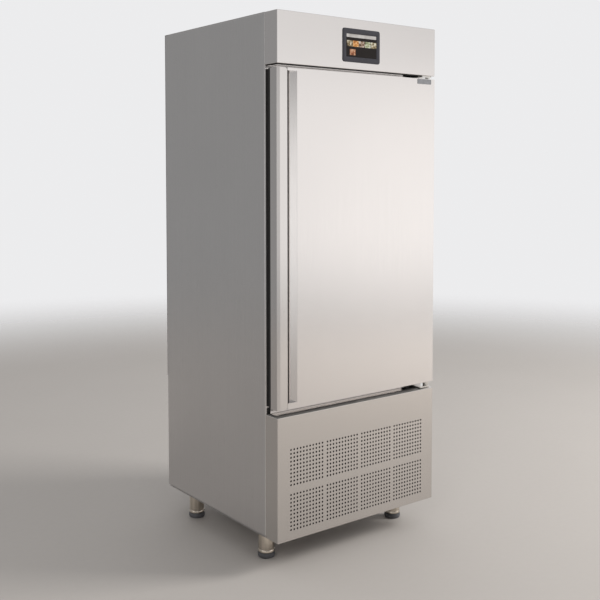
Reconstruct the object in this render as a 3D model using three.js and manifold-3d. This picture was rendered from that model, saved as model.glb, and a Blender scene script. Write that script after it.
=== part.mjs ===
// Upright blast chiller: a stainless cabinet with one full-width door, a control fascia
// above it and a perforated machine-compartment panel below it.
// Millimetres. X runs to the right seen from the front, the front faces -Y, +Z is up.
// The origin is on the floor under the middle of the cabinet.

import * as THREE from 'three';
import { mergeVertices } from 'three/addons/utils/BufferGeometryUtils.js';
import Module from 'manifold-3d';

const wasm = await Module();
wasm.setup();

// ---------------------------------------------------------------- driving dimensions

// Casing
const width = 800;
const bodyDepth = 808; // door face to back panel
const bodyHeight = 1944; // without the feet
const footHeight = 116;
const frontDepth = 76.5; // door, fascia and grille panel stand this far out of the sides
const sheet = 1.2; // stainless sheet
const basePlate = 2;
const fold = 20; // inward folds of the casing sheets
const fit = 0.3; // clearance between pieces that touch
const sideLift = 3; // side panels end this far above the base

// Front
const fasciaHeight = 190.3;
const fasciaGap = 13.1; // fascia to door
const grilleGap = 26.7; // door to grille panel
const grilleHeight = 467.4;
const frameStep = 6.5; // front frame stands out of the side panels
const panelReturn = 30; // bottom return of the grille panel

// Chamber
const sideWall = 60;
const rearWall = 60;
const floorWall = 60;
const ceilingWall = 60;
const chamberInsetBottom = 50; // chamber floor above the door's lower edge
const chamberInsetTop = 46;
const frameLip = 2; // frame opening is this much smaller than the chamber
const frameTuck = 18; // frame's inner return reaches into the chamber

// Door
const doorSteelDepth = 42;
const doorFrameDepth = 14; // black plastic frame behind the steel
const doorFrameWidth = 38;
const doorFrameInset = 1.5;
const gasketWidth = 30;
const gasketInset = 3;
const gasketHingeInset = 10; // the corner that swings past the front frame
const gasketGap = 0.5; // gasket to front frame

// Handle, full height, at the left edge
const lipWidth = 47;
const lipHem = 12;
const lipSheet = 1.5;
const lipBevelAcross = 11;
const lipBevelBack = 2.5;
const lipCorner = 12; // radius of the lip's free corners
const recessMouth = 90.5; // from the door's left edge to the main face
const recessFloorEdge = 54.5; // the same at the bottom of the recess
const recessDepth = 36;
const recessTopEnd = 10.6;
const recessBottomEnd = 22;

// Hinges
const hingeInset = 12; // pivot axis from the door's right edge
const hingeBack = 30; // pivot axis behind the door's face
const pinRadius = 5;
const pinClearance = 0.3;
const bushWall = 3;
const bushLength = 24;
const bushCollar = 2;
const bracketPlate = 5;
const bracketLength = 130;
const bracketArm = 62; // width of the plate that carries the pin
const bracketForward = 18; // bracket's free edge in front of the pivot axis
const bracketFlange = 16;
const bracketSeat = 2; // bracket above the grille panel's ledge

// Display
const bezelWidth = 188;
const bezelHeight = 127;
const bezelProud = 2.5;
const bezelCorner = 9;
const displayDrop = 5; // display's centre below the fascia's middle
const screenWidth = 152;
const screenHeight = 87;
const screenSink = 1;
const screenThickness = 3;
const sleeveWall = 9; // bezel sleeve that passes through the fascia
const sleeveDepth = 10;
const housingDepth = 34;
const housingLip = 6;

// Badge plate on the door, bare
const badgeWidth = 77;
const badgeHeight = 20;
const badgeThickness = 0.8;
const badgeCorner = 2.5;
const badgeFromRight = 21;
const badgeFromTop = 1.5;

// Perforations of the grille panel: fields of holes
const fieldsAcross = 4;
const fieldsUp = 2;
const holesAcross = 5; // of one field
const holesUp = 4;
const holeDiameter = 6.5;
const holeSides = 6;
const fieldFromLeft = 61.1; // first hole
const fieldFromRight = 68.3; // last hole
const fieldHeight = 131.9;
const fieldGapAcross = 24.3;
const fieldGapUp = 37;
const firstRow = 39.9; // above the panel's lower edge

// Feet
const footFromSide = 68;
const footFromFront = 168;
const footFromRear = 125;
const footPlateSize = 100;
const footPlateThickness = 4;
const footTubeRadius = 31.5;
const footTubeWall = 1.5;
const footStemRadius = 20;
const footPadRadius = 33.5;
const footPadHeight = 20;
const footPadBevel = 5;
const footReveal = 2; // tube ends above the pad
const footStemHead = 26; // stem's top below the plate

// Tray racks
const rackWallGap = 23; // posts to the chamber's wall
const railShelf = 17;
const railSheet = 2;
const railLength = 400;
const railPitch = 70;
const lowestRail = 62; // above the chamber floor
const rackHeadroom = 100;
const rackPostWidth = 30;
const rackPostThickness = 14;
const rackPostInset = 60; // posts from the rails' ends
const rackFromFront = 25; // rails behind the front frame's return
const studRadius = 6;
const studClearance = 0.5;
const studFromPostEnd = 60;
const rackLift = 15;
const postEnd = 30; // post beyond the lowest and highest rail

// Air circuit
const cowlDepth = 150; // cowl's face in front of the chamber's rear wall
const cowlSideGap = 20;
const cowlEndGap = 40;
const cowlFold = 25;
const fanShares = [0.27, 0.73]; // fan centres, as shares of the cowl's height
const fanOpening = 152;
const fanRadius = 145;
const fanBladeWidth = 54;
const fanBladeThickness = 2.5;
const fanBladePitch = THREE.MathUtils.degToRad(32);
const fanBlades = 5;
const fanHubRadius = 45;
const fanHubDepth = 30;
const fanSetback = 14; // hub behind the cowl or shroud face
const guardBar = 8;
const guardRing = 90;
const motorRadius = 42;
const motorDepth = 45;
const motorShaft = 4;
const motorShaftReach = 14;
const motorBracket = 3; // bracket bar thickness
const motorBracketWidth = 16;
const runningGap = 1;
const coilDepth = 40;
const coilRearGap = 8;
const coilSideGap = 45;
const coilBottom = 70; // above the chamber floor
const coilTopGap = 90;
const coilFins = 12;
const coilFin = 5; // thickness of one modelled fin
const coilCore = 8;
const coilEndPlate = 16;
const dripTrayHeight = 30;
const dripTrayLift = 6;

// Refrigeration set under the chamber
const compressorRadius = 110;
const compressorHeight = 300;
const compressorCap = 70; // height of its rounded ends
const compressorPort = 180; // ports above its lower end
const compressorLug = 82; // lugs out from its middle, each way
const compressorFoot = 18;
const compressorFromRear = 230;
const condenserWidth = 520;
const condenserHeight = 370;
const condenserDepth = 80;
const condenserBehindFrame = 12;
const condenserLift = 12;
const shroudDepth = 45;
const receiverRadius = 55;
const receiverHeight = 260;
const receiverCap = 30;
const receiverFoot = 24; // half the width of its square foot
const receiverFromSide = 170;
const receiverFromRear = 240;
const drierRadius = 20;
const drierLength = 120;
const drierRise = 60; // drier above the receiver
const pipeRadius = 8;
const pipeBend = 30;
const pipeClearance = 1; // pipe to its hole
const pipeFromSide = 95;
const pipeFromRear = 88;
const drainRadius = 14;
const drainWall = 2;
const drainBelow = 25; // drain's spigot under the base
const drainFromSide = 200;

// Rear and electrics
const rearCoverSink = 28; // service cover in from the back panel
const louvreCount = 8;
const louvreWidth = 460;
const louvreHeight = 10;
const louvrePitch = 28;
const louvreBottom = 120;
const glandRadius = 12;
const glandNut = 17;
const glandLength = 22;
const glandBore = 6;
const glandFromSide = 100;
const glandHeight = 400; // above the base
const boxWidth = 320;
const boxDepth = 200;
const boxHeight = 110;
const boxBehindFrame = 60;
const boardEdge = 30;
const boardThickness = 2;
const boardStandoff = 12;
const relayCount = 4;

// ---------------------------------------------------------------- derived places

const totalDepth = bodyDepth + bezelProud;
const xRight = width / 2;
const xLeft = -xRight;
const yFront = -totalDepth / 2 + bezelProud;
const yBack = totalDepth / 2;
const ySides = yFront + frontDepth;
const yFrame = ySides - frameStep;
const zBase = footHeight;
const zTop = zBase + bodyHeight;
const zGrilleTop = zBase + grilleHeight;
const zDoorBottom = zGrilleTop + grilleGap;
const zFascia = zTop - fasciaHeight;
const zDoorTop = zFascia - fasciaGap;

const chamberHalf = xRight - sideWall;
const yChamberBack = yBack - rearWall;
const zFloor = zDoorBottom + chamberInsetBottom;
const zCeiling = zDoorTop - chamberInsetTop;
const zInsulationBottom = zFloor - floorWall;
const zInsulationTop = zCeiling + ceilingWall;
const yDoorFrame = yFront + doorSteelDepth + fit;
const yGasket = yDoorFrame + doorFrameDepth + fit;
const yGasketBack = yFrame - gasketGap;
const xHinge = xRight - hingeInset;
const yHinge = yFront + hingeBack;
const bushRadius = pinRadius + pinClearance + bushWall;

// ---------------------------------------------------------------- shape helpers

const round = 20; // sides of a large round piece
const small = 10; // sides of a small one
const capSteps = 4; // along a rounded end
const pipeSides = 6;
const bendSteps = 4;
const past = 1; // cutters and joined pieces reach this far past the faces they meet
const flatness = 0.01; // faces closer to a plane than this are joined

function block([x0, x1], [y0, y1], [z0, z1]) {
  const geometry = new THREE.BoxGeometry(x1 - x0, y1 - y0, z1 - z0);
  return geometry.translate((x0 + x1) / 2, (y0 + y1) / 2, (z0 + z1) / 2);
}

function outline(points) {
  return new THREE.Shape(points.map(([a, b]) => new THREE.Vector2(a, b)));
}

// A plan (x, y) raised from z0 to z1.
function raise(points, [z0, z1]) {
  const options = { depth: z1 - z0, bevelEnabled: false };
  return new THREE.ExtrudeGeometry(outline(points), options).translate(0, 0, z0);
}

// A front view (x, z) carried from y0 back to y1.
function carryBack(shape, [y0, y1], curveSegments = 6) {
  const options = { depth: y1 - y0, bevelEnabled: false, curveSegments };
  const geometry = new THREE.ExtrudeGeometry(shape, options);
  return geometry.rotateX(Math.PI / 2).translate(0, y1, 0);
}

// A round piece about a vertical axis: profile points are [radius, z].
function turned(profile, [x, y], sides = round) {
  const points = profile.map(([radius, z]) => new THREE.Vector2(radius, z));
  return new THREE.LatheGeometry(points, sides).rotateX(Math.PI / 2).translate(x, y, 0);
}

// An upright drum with rounded ends.
function drum(radius, cap, [z0, z1], centre) {
  const lower = [];
  const upper = [];
  for (let i = 0; i <= capSteps; i += 1) {
    const angle = (Math.PI / 2) * (i / capSteps);
    const rise = cap * (1 - Math.cos(angle));
    lower.push([radius * Math.sin(angle), z0 + rise]);
    upper.unshift([radius * Math.sin(angle), z1 - rise]);
  }
  return turned([...lower, ...upper], centre);
}

// A round bar along Y.
function barAlongY(radius, [x, z], [y0, y1], sides = round) {
  const geometry = new THREE.CylinderGeometry(radius, radius, y1 - y0, sides);
  return geometry.translate(x, (y0 + y1) / 2, z);
}

// A round bar along Z.
function barAlongZ(radius, [x, y], [z0, z1], sides = round) {
  const geometry = new THREE.CylinderGeometry(radius, radius, z1 - z0, sides);
  return geometry.rotateX(Math.PI / 2).translate(x, y, (z0 + z1) / 2);
}

// A round bar along X.
function barAlongX(radius, [y, z], [x0, x1], sides = round) {
  const geometry = new THREE.CylinderGeometry(radius, radius, x1 - x0, sides);
  return geometry.rotateZ(Math.PI / 2).translate((x0 + x1) / 2, y, z);
}

function roundedRectangle([x0, x1], [z0, z1], radius) {
  const shape = new THREE.Shape();
  shape.moveTo(x0 + radius, z0);
  shape.lineTo(x1 - radius, z0);
  shape.absarc(x1 - radius, z0 + radius, radius, -Math.PI / 2, 0);
  shape.lineTo(x1, z1 - radius);
  shape.absarc(x1 - radius, z1 - radius, radius, 0, Math.PI / 2);
  shape.lineTo(x0 + radius, z1);
  shape.absarc(x0 + radius, z1 - radius, radius, Math.PI / 2, Math.PI);
  shape.lineTo(x0, z0 + radius);
  shape.absarc(x0 + radius, z0 + radius, radius, Math.PI, 1.5 * Math.PI);
  return shape;
}

// ---------------------------------------------------------------- joining and cutting

function toSolid(geometry) {
  geometry.deleteAttribute('normal');
  geometry.deleteAttribute('uv');
  const merged = mergeVertices(geometry, 1e-4);
  return new wasm.Manifold(new wasm.Mesh({
    numProp: 3,
    vertProperties: new Float32Array(merged.attributes.position.array),
    triVerts: new Uint32Array(merged.index.array),
  }));
}

function toGeometry(solid) {
  const mesh = solid.asOriginal().simplify(flatness).getMesh();
  const geometry = new THREE.BufferGeometry();
  geometry.setAttribute('position', new THREE.BufferAttribute(mesh.vertProperties, 3));
  geometry.setIndex(new THREE.BufferAttribute(mesh.triVerts, 1));
  geometry.computeVertexNormals();
  return geometry;
}

function join(geometries) {
  return geometries.map(toSolid).reduce((whole, piece) => whole.add(piece));
}

function cut(geometries, cutters) {
  const body = join(geometries);
  return cutters.length ? body.subtract(join(cutters)) : body;
}

// ---------------------------------------------------------------- the assembly

const chiller = new THREE.Group();

const steel = { color: 0xbdbbb7, roughness: 0.32, metalness: 0.9 };
const satin = { color: 0xd6d3cd, roughness: 0.28, metalness: 0.9 };
const liner = { color: 0xc9cac9, roughness: 0.35, metalness: 0.9 };
const blackPlastic = { color: 0x1c1b1a, roughness: 0.6, metalness: 0 };
const greyPlastic = { color: 0x4b4b50, roughness: 0.5, metalness: 0 };
const rubber = { color: 0x191817, roughness: 0.85, metalness: 0 };
const glass = { color: 0x0d0b0b, roughness: 0.08, metalness: 0 };
const foam = { color: 0xe2d8b4, roughness: 0.95, metalness: 0 };
const aluminium = { color: 0xa9adb0, roughness: 0.45, metalness: 0.85 };
const copper = { color: 0xb5744c, roughness: 0.4, metalness: 0.9 };
const blackPaint = { color: 0x16171a, roughness: 0.5, metalness: 0.3 };
const circuit = { color: 0x1f5a38, roughness: 0.6, metalness: 0 };

function place(name, shape, finish) {
  const geometry = toGeometry(shape instanceof THREE.BufferGeometry ? toSolid(shape) : shape);
  const mesh = new THREE.Mesh(geometry, new THREE.MeshStandardMaterial(finish));
  mesh.name = name;
  chiller.add(mesh);
}

// ---------------------------------------------------------------- casing

function sidePanel(side) {
  const outer = side * xRight;
  const inner = outer - side * sheet;
  const folded = outer - side * fold;
  const wall = [outer, inner].sort((a, b) => a - b);
  const reach = [outer, folded].sort((a, b) => a - b);
  const back = yBack - sheet - fit;
  const bottom = zBase + sideLift;
  const top = zTop - sheet - fit;
  return join([
    block(wall, [ySides, back], [bottom, top]),
    block(reach, [back - sheet, back], [bottom, top]),
    block(reach, [ySides, back], [bottom, bottom + sheet]),
  ]);
}

function topPanel() {
  const inner = xRight - sheet - fit;
  const flange = [zTop - fold, zTop];
  const front = ySides + fit;
  return join([
    block([xLeft, xRight], [front, yBack], [zTop - sheet, zTop]),
    block([-inner, -inner + sheet], [front, yBack - fold], flange),
    block([inner - sheet, inner], [front, yBack - fold], flange),
  ]);
}

function rearPanel() {
  const plate = [yBack - sheet, yBack];
  const top = zTop - sheet - fit;
  return join([
    block([xLeft, xRight], plate, [zInsulationBottom, top]),
    block([xLeft + fold + fit, xRight - fold - fit], [yBack - fold, yBack], [top - sheet, top]),
  ]);
}

function basePanel() {
  const half = xRight - sheet - fit;
  const flangeHalf = xRight - fold - fit;
  const front = ySides + fit;
  const back = yBack - rearCoverSink - sheet - fit;
  const drain = barAlongZ(drainRadius + fit, [xDrain, yDrain],
    [zBase - past, zBase + basePlate + past]);
  return cut([
    block([-half, half], [front, yBack - sheet - fit - sheet - fit], [zBase, zBase + basePlate]),
    block([-flangeHalf, flangeHalf], [front, front + basePlate], [zBase, zBase + fold]),
    block([-flangeHalf, flangeHalf], [back - basePlate, back], [zBase, zBase + fold]),
  ], [drain]);
}

function frontFrame() {
  const bottom = zGrilleTop + fit;
  const top = zFascia - fit;
  const openingX = chamberHalf - frameLip;
  const openingBottom = zFloor + frameLip;
  const openingTop = zCeiling - frameLip;
  const back = ySides - fit;
  const tuck = ySides + frameTuck;
  const hollow = block([xLeft + sheet, xRight - sheet], [yFrame + sheet, back + past],
    [bottom + sheet, top - sheet]);
  const pan = cut([block([xLeft, xRight], [yFrame, back], [bottom, top])], [hollow]);
  const sleeve = cut(
    [block([-openingX - sheet, openingX + sheet], [yFrame, tuck],
      [openingBottom - sheet, openingTop + sheet])],
    [block([-openingX, openingX], [yFrame - past, tuck + past], [openingBottom, openingTop])]);
  const opening = toSolid(
    block([-openingX, openingX], [yFrame - past, tuck + past], [openingBottom, openingTop]));
  return pan.add(sleeve).subtract(opening);
}

// Holes that the chamber's floor leaves for the pipes and the drain.
const yPipes = yBack - pipeFromRear;
const yDrain = yChamberBack - cowlDepth / 2;
const xPipe = xRight - pipeFromSide;
const xDrain = xLeft + drainFromSide;

function floorHoles(clearance) {
  const span = [zInsulationBottom - past, zFloor + past];
  return [
    barAlongZ(pipeRadius + pipeClearance + clearance, [xPipe, yPipes], span, small),
    barAlongZ(pipeRadius + pipeClearance + clearance, [-xPipe, yPipes], span, small),
    barAlongZ(drainRadius + clearance, [xDrain, yDrain], span),
  ];
}

function chamberBlock(grow, front) {
  return block(
    [-chamberHalf - grow, chamberHalf + grow], [front, yChamberBack + grow],
    [zFloor - grow, zCeiling + grow]);
}

function insulation() {
  const half = xRight - sheet - fit;
  const back = yBack - 2 * (sheet + fit) - fit;
  const front = yFrame + sheet + fit;
  const sideFront = ySides + fit;
  return cut([
    block([-half, half], [sideFront, back], [zInsulationBottom, zInsulationTop]),
    block([-half, half], [front, sideFront + past],
      [zInsulationBottom, zFascia - sheet - 2 * fit]),
  ], [
    chamberBlock(sheet + fit, ySides - frameStep),
    ...floorHoles(2 * fit),
  ]);
}

function innerLiner() {
  const studs = [];
  for (const side of [-1, 1]) {
    for (const y of rackPostCentres) {
      for (const z of studHeights) {
        const wall = side * (chamberHalf + sheet / 2);
        const tip = side * (rackInner + rackPostThickness / 2);
        studs.push(barAlongX(studRadius, [y, z], [wall, tip].sort((a, b) => a - b), small));
      }
    }
  }
  const front = ySides + fit;
  const shell = cut([chamberBlock(sheet, front)], [chamberBlock(0, front - past), ...floorHoles(fit)]);
  return shell.add(join(studs));
}

function rearCover() {
  const half = xRight - fold - 2 * fit;
  const bottom = zBase + basePlate + fit;
  const top = zInsulationBottom - fit;
  const plate = yBack - rearCoverSink;
  const through = [plate - past, plate + sheet + past];
  const cutters = [
    block([-half + sheet, half - sheet], [plate + sheet, yBack + past],
      [bottom + sheet, top - sheet]),
    barAlongY(glandRadius + fit, [xRight - glandFromSide, zBase + glandHeight], through),
  ];
  for (let i = 0; i < louvreCount; i += 1) {
    const z = zBase + louvreBottom + i * louvrePitch;
    cutters.push(block([-louvreWidth / 2, louvreWidth / 2], through, [z, z + louvreHeight]));
  }
  return cut([block([-half, half], [plate, yBack - fit], [bottom, top])], cutters);
}

// ---------------------------------------------------------------- fascia and display

const zDisplay = (zTop + zFascia) / 2 - displayDrop;

function fascia() {
  const back = ySides - fit;
  const hollow = block(
    [xLeft + sheet, xRight - sheet], [yFront + sheet, back + past], [zFascia + sheet, zTop - sheet]);
  const cutHalf = screenWidth / 2 + sleeveWall;
  const cutHigh = screenHeight / 2 + sleeveWall;
  const opening = block(
    [-cutHalf, cutHalf], [yFront - past, yFront + sheet + past], [zDisplay - cutHigh, zDisplay + cutHigh]);
  return cut([block([xLeft, xRight], [yFront, back], [zFascia, zTop])], [hollow, opening]);
}

function bezel() {
  const halfX = bezelWidth / 2;
  const halfZ = bezelHeight / 2;
  const sleeveX = screenWidth / 2 + sleeveWall - fit;
  const sleeveZ = screenHeight / 2 + sleeveWall - fit;
  const rim = carryBack(
    roundedRectangle([-halfX, halfX], [zDisplay - halfZ, zDisplay + halfZ], bezelCorner),
    [yFront - bezelProud, yFront - fit]);
  const sleeve = block(
    [-sleeveX, sleeveX], [yFront - bezelProud / 2, yFront + sleeveDepth],
    [zDisplay - sleeveZ, zDisplay + sleeveZ]);
  const window = block(
    [-screenWidth / 2, screenWidth / 2], [yFront - bezelProud - past, yFront + sleeveDepth + past],
    [zDisplay - screenHeight / 2, zDisplay + screenHeight / 2]);
  return cut([rim, sleeve], [window]);
}

const screenFront = yFront - bezelProud + screenSink;

function screen() {
  const halfX = screenWidth / 2 - fit;
  const halfZ = screenHeight / 2 - fit;
  return block([-halfX, halfX], [screenFront, screenFront + screenThickness],
    [zDisplay - halfZ, zDisplay + halfZ]);
}

function displayHousing() {
  const bossX = screenWidth / 2 - 2 * fit;
  const bossZ = screenHeight / 2 - 2 * fit;
  const back = yFront + sleeveDepth + fit;
  return join([
    block([-bossX, bossX], [screenFront + screenThickness + fit, back + past],
      [zDisplay - bossZ, zDisplay + bossZ]),
    block([-bossX - housingLip, bossX + housingLip], [back, back + housingDepth],
      [zDisplay - bossZ - housingLip, zDisplay + bossZ + housingLip]),
  ]);
}

function electricalBox() {
  const front = ySides + boxBehindFrame;
  const floor = zInsulationTop + fit;
  const inside = block(
    [-boxWidth / 2 + sheet, boxWidth / 2 - sheet], [front + sheet, front + boxDepth - sheet],
    [floor + sheet, floor + boxHeight + past]);
  return cut(
    [block([-boxWidth / 2, boxWidth / 2], [front, front + boxDepth], [floor, floor + boxHeight])],
    [inside]);
}

function controlBoard() {
  const front = ySides + boxBehindFrame + sheet + boardEdge;
  const back = ySides + boxBehindFrame + boxDepth - sheet - boardEdge;
  const half = boxWidth / 2 - sheet - boardEdge;
  const floor = zInsulationTop + fit + sheet + fit;
  const z = floor + boardStandoff;
  const pieces = [block([-half, half], [front, back], [z, z + boardThickness])];
  for (const x of [-half, half - boardStandoff]) {
    for (const y of [front, back - boardStandoff]) {
      pieces.push(block([x, x + boardStandoff], [y, y + boardStandoff], [floor, z + past]));
    }
  }
  const relayPitch = (2 * half) / relayCount;
  for (let i = 0; i < relayCount; i += 1) {
    const x = -half + relayPitch * (i + 0.5);
    const relay = relayPitch / 4;
    pieces.push(block([x - relay, x + relay], [back - relayPitch, back - relayPitch / 2],
      [z + past, z + boardThickness + boardStandoff]));
  }
  return join(pieces);
}

// ---------------------------------------------------------------- grille panel

function grilleHole(x, z) {
  const hole = new THREE.Path();
  const points = [];
  for (let i = 0; i < holeSides; i += 1) {
    const angle = (2 * Math.PI * i) / holeSides;
    points.push(new THREE.Vector2(
      x + (holeDiameter / 2) * Math.cos(angle), z + (holeDiameter / 2) * Math.sin(angle)));
  }
  hole.setFromPoints(points);
  return hole;
}

function grillePanel() {
  const face = outline([[xLeft, zBase], [xRight, zBase], [xRight, zGrilleTop], [xLeft, zGrilleTop]]);
  const spanAcross = width - fieldFromLeft - fieldFromRight;
  const fieldWidth = (spanAcross + fieldGapAcross) / fieldsAcross - fieldGapAcross;
  for (let field = 0; field < fieldsAcross * fieldsUp; field += 1) {
    const x0 = xLeft + fieldFromLeft + (field % fieldsAcross) * (fieldWidth + fieldGapAcross);
    const z0 = zBase + firstRow + Math.floor(field / fieldsAcross) * (fieldHeight + fieldGapUp);
    for (let i = 0; i < holesAcross; i += 1) {
      for (let j = 0; j < holesUp; j += 1) {
        const x = x0 + (fieldWidth * i) / (holesAcross - 1);
        const z = z0 + (fieldHeight * j) / (holesUp - 1);
        face.holes.push(grilleHole(x, z));
      }
    }
  }
  const back = ySides - fit;
  return join([
    carryBack(face, [yFront, yFront + sheet]),
    block([xLeft, xLeft + sheet], [yFront, back], [zBase, zGrilleTop]),
    block([xRight - sheet, xRight], [yFront, back], [zBase, zGrilleTop]),
    block([xLeft, xRight], [yFront, back], [zGrilleTop - sheet, zGrilleTop]),
    block([xLeft, xRight], [yFront, yFront + panelReturn], [zBase, zBase + sheet]),
  ]);
}

// ---------------------------------------------------------------- door

const recessWallSlope = (recessMouth - recessFloorEdge) / recessDepth;
const lipClear = lipSheet + fit;

// The door's steel body shrunk by an inset, from its face back to a depth.
function doorBody(inset, back) {
  const whole = block([xLeft + lipClear + inset, xRight - inset], [yFront + inset, back],
    [zDoorBottom + inset, zDoorTop - inset]);
  const lipSpace = block([xLeft - past, xLeft + lipWidth + fit + inset],
    [yFront - past, yFront + lipHem + fit + inset], [zDoorBottom - past, zDoorTop + past]);
  const floor = recessDepth + inset;
  const aside = inset * Math.hypot(1, recessWallSlope);
  const wallAt = (depth) => xLeft + recessMouth + aside - recessWallSlope * depth;
  const left = xLeft + lipClear + sheet - inset;
  const recess = raise([
    [left, yFront - past],
    [wallAt(-past), yFront - past],
    [wallAt(floor), yFront + floor],
    [left, yFront + floor],
  ], [zDoorBottom + recessBottomEnd - inset, zDoorTop - recessTopEnd + inset]);
  return cut([whole], [lipSpace, recess]);
}

function bushBores(grow) {
  const radius = bushRadius + grow;
  const reach = bushLength + grow;
  return [
    barAlongZ(radius, [xHinge, yHinge], [zDoorBottom - past, zDoorBottom + reach]),
    barAlongZ(radius, [xHinge, yHinge], [zDoorTop - reach, zDoorTop + past]),
  ];
}

function doorSkin() {
  const back = yFront + doorSteelDepth;
  return doorBody(0, back).subtract(doorBody(sheet, back + past)).subtract(join(bushBores(fit)));
}

function doorInsulation() {
  const back = yFront + doorSteelDepth;
  const panel = innerPanelOutline(2 * sheet + 2 * fit);
  const boss = block(panel.x, [back - past, yGasket - 2 * sheet - fit], panel.z);
  return doorBody(sheet + fit, back).add(toSolid(boss)).subtract(join(bushBores(2 * fit)));
}

function innerPanelOutline(inset) {
  const edge = doorFrameInset + doorFrameWidth + fit + inset;
  return {
    x: [xLeft + edge, xRight - edge],
    z: [zDoorBottom + edge, zDoorTop - edge],
  };
}

function doorInnerPanel() {
  const panel = innerPanelOutline(0);
  const inside = innerPanelOutline(sheet);
  return cut(
    [block(panel.x, [yDoorFrame, yGasket - fit], panel.z)],
    [block(inside.x, [yDoorFrame - past, yGasket - fit - sheet], inside.z)]);
}

function doorFrame() {
  const outerX = xRight - doorFrameInset;
  const inner = innerPanelOutline(-fit);
  return cut(
    [block([-outerX, outerX], [yDoorFrame, yDoorFrame + doorFrameDepth],
      [zDoorBottom + doorFrameInset, zDoorTop - doorFrameInset])],
    [block(inner.x, [yDoorFrame - past, yGasket + past], inner.z)]);
}

function doorGasket() {
  const left = xLeft + gasketInset;
  const right = xRight - gasketHingeInset;
  const bottom = zDoorBottom + gasketInset;
  const top = zDoorTop - gasketInset;
  return cut(
    [block([left, right], [yGasket, yGasketBack], [bottom, top])],
    [block([left + gasketWidth, right - gasketWidth], [yGasket - past, yGasketBack + past],
      [bottom + gasketWidth, top - gasketWidth])]);
}

function doorHandle() {
  const bevelInner = lipBevelBack + lipSheet;
  const profile = raise([
    [xLeft, yFront + doorSteelDepth],
    [xLeft, yFront + lipBevelBack],
    [xLeft + lipBevelAcross, yFront],
    [xLeft + lipWidth, yFront],
    [xLeft + lipWidth, yFront + lipHem],
    [xLeft + lipWidth - lipSheet, yFront + lipHem],
    [xLeft + lipWidth - lipSheet, yFront + lipSheet],
    [xLeft + lipBevelAcross, yFront + lipSheet],
    [xLeft + lipSheet, yFront + bevelInner],
    [xLeft + lipSheet, yFront + doorSteelDepth],
  ], [zDoorBottom, zDoorTop]);
  const edge = roundedRectangle(
    [xLeft - lipWidth, xLeft + lipWidth], [zDoorBottom, zDoorTop], lipCorner);
  const keep = toSolid(carryBack(edge, [yFront - past, yFront + lipHem + fit], 4));
  const wall = toSolid(block([xLeft - past, xLeft + lipSheet],
    [yFront - past, yFront + doorSteelDepth + past], [zDoorBottom - past, zDoorTop + past]));
  return toSolid(profile).intersect(keep.add(wall));
}

function badge() {
  const right = xRight - badgeFromRight;
  const top = zDoorTop - badgeFromTop;
  return carryBack(
    roundedRectangle([right - badgeWidth, right], [top - badgeHeight, top], badgeCorner),
    [yFront - fit - badgeThickness, yFront - fit], 3);
}

// ---------------------------------------------------------------- hinges

function hingeBush(end) {
  const face = end < 0 ? zDoorBottom : zDoorTop;
  const outside = face + end * bushCollar;
  const inside = face - end * (bushLength - fit);
  const bore = pinRadius + pinClearance;
  const seat = face + end * fit;
  const profile = [
    [bore, outside], [bushRadius + bushCollar, outside], [bushRadius + bushCollar, seat],
    [bushRadius, seat], [bushRadius, inside], [bore, inside], [bore, outside],
  ];
  return turned(end < 0 ? profile : profile.reverse(), [xHinge, yHinge]);
}

function hingeBracket(end) {
  const seat = end < 0 ? zGrilleTop + bracketSeat : zFascia - fit;
  const plate = end < 0 ? [seat, seat + bracketPlate] : [seat - bracketPlate, seat];
  const flange = end < 0 ? [seat, seat + bracketFlange] : [seat - fasciaGap + 2 * fit, seat];
  const right = xHinge + 2 * pinRadius;
  const back = yFrame - fit;
  const tip = end < 0 ? zDoorBottom + bushLength - bushWall : zDoorTop - bushLength + bushWall;
  const pin = barAlongZ(pinRadius, [xHinge, yHinge],
    end < 0 ? [seat + past, tip] : [tip, seat - past]);
  const flangeBack = [back - bracketPlate / 2, back];
  return join([
    block([right - bracketArm, right], [yHinge - bracketForward, back], plate),
    block([right - bracketLength, xHinge - bushRadius - bushCollar], flangeBack, flange),
    pin,
  ]);
}

// ---------------------------------------------------------------- tray racks

const rackInner = chamberHalf - rackWallGap - rackPostThickness; // the posts' inner faces
const railFront = ySides + frameTuck + rackFromFront;
const rackPostCentres = [railFront + rackPostInset, railFront + railLength - rackPostInset];
const chamberHeight = zCeiling - zFloor;
const railCount = Math.floor((chamberHeight - lowestRail - rackHeadroom) / railPitch) + 1;
const postBottom = zFloor + lowestRail - postEnd;
const postTop = zFloor + lowestRail + (railCount - 1) * railPitch + postEnd;
const studHeights = [postBottom + studFromPostEnd, postTop - studFromPostEnd];

function trayRack(side) {
  const across = (near, far) => [side * near, side * far].sort((a, b) => a - b);
  const post = across(rackInner, rackInner + rackPostThickness);
  const pieces = rackPostCentres.map((y) => block(
    post, [y - rackPostWidth / 2, y + rackPostWidth / 2], [postBottom, postTop]));
  for (let i = 0; i < railCount; i += 1) {
    const z = zFloor + lowestRail + i * railPitch;
    const along = [railFront, railFront + railLength];
    const shelf = across(rackInner - railShelf, rackInner + rackPostThickness / 2);
    pieces.push(block(shelf, along, [z, z + railSheet]));
  }
  const slots = [];
  for (const y of rackPostCentres) {
    for (const z of studHeights) {
      const reach = studRadius + studClearance;
      slots.push(block(
        across(rackInner - past, rackInner + rackPostThickness + past),
        [y - reach, y + reach], [z - reach - rackLift, z + reach]));
    }
  }
  return cut(pieces, slots);
}

// ---------------------------------------------------------------- air circuit

const yCowl = yChamberBack - cowlDepth;
const cowlHalf = chamberHalf - cowlSideGap;
const cowlBottom = zFloor + cowlEndGap;
const cowlTop = zCeiling - cowlEndGap;
const fanHeights = fanShares.map((share) => cowlBottom + (cowlTop - cowlBottom) * share);

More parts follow.
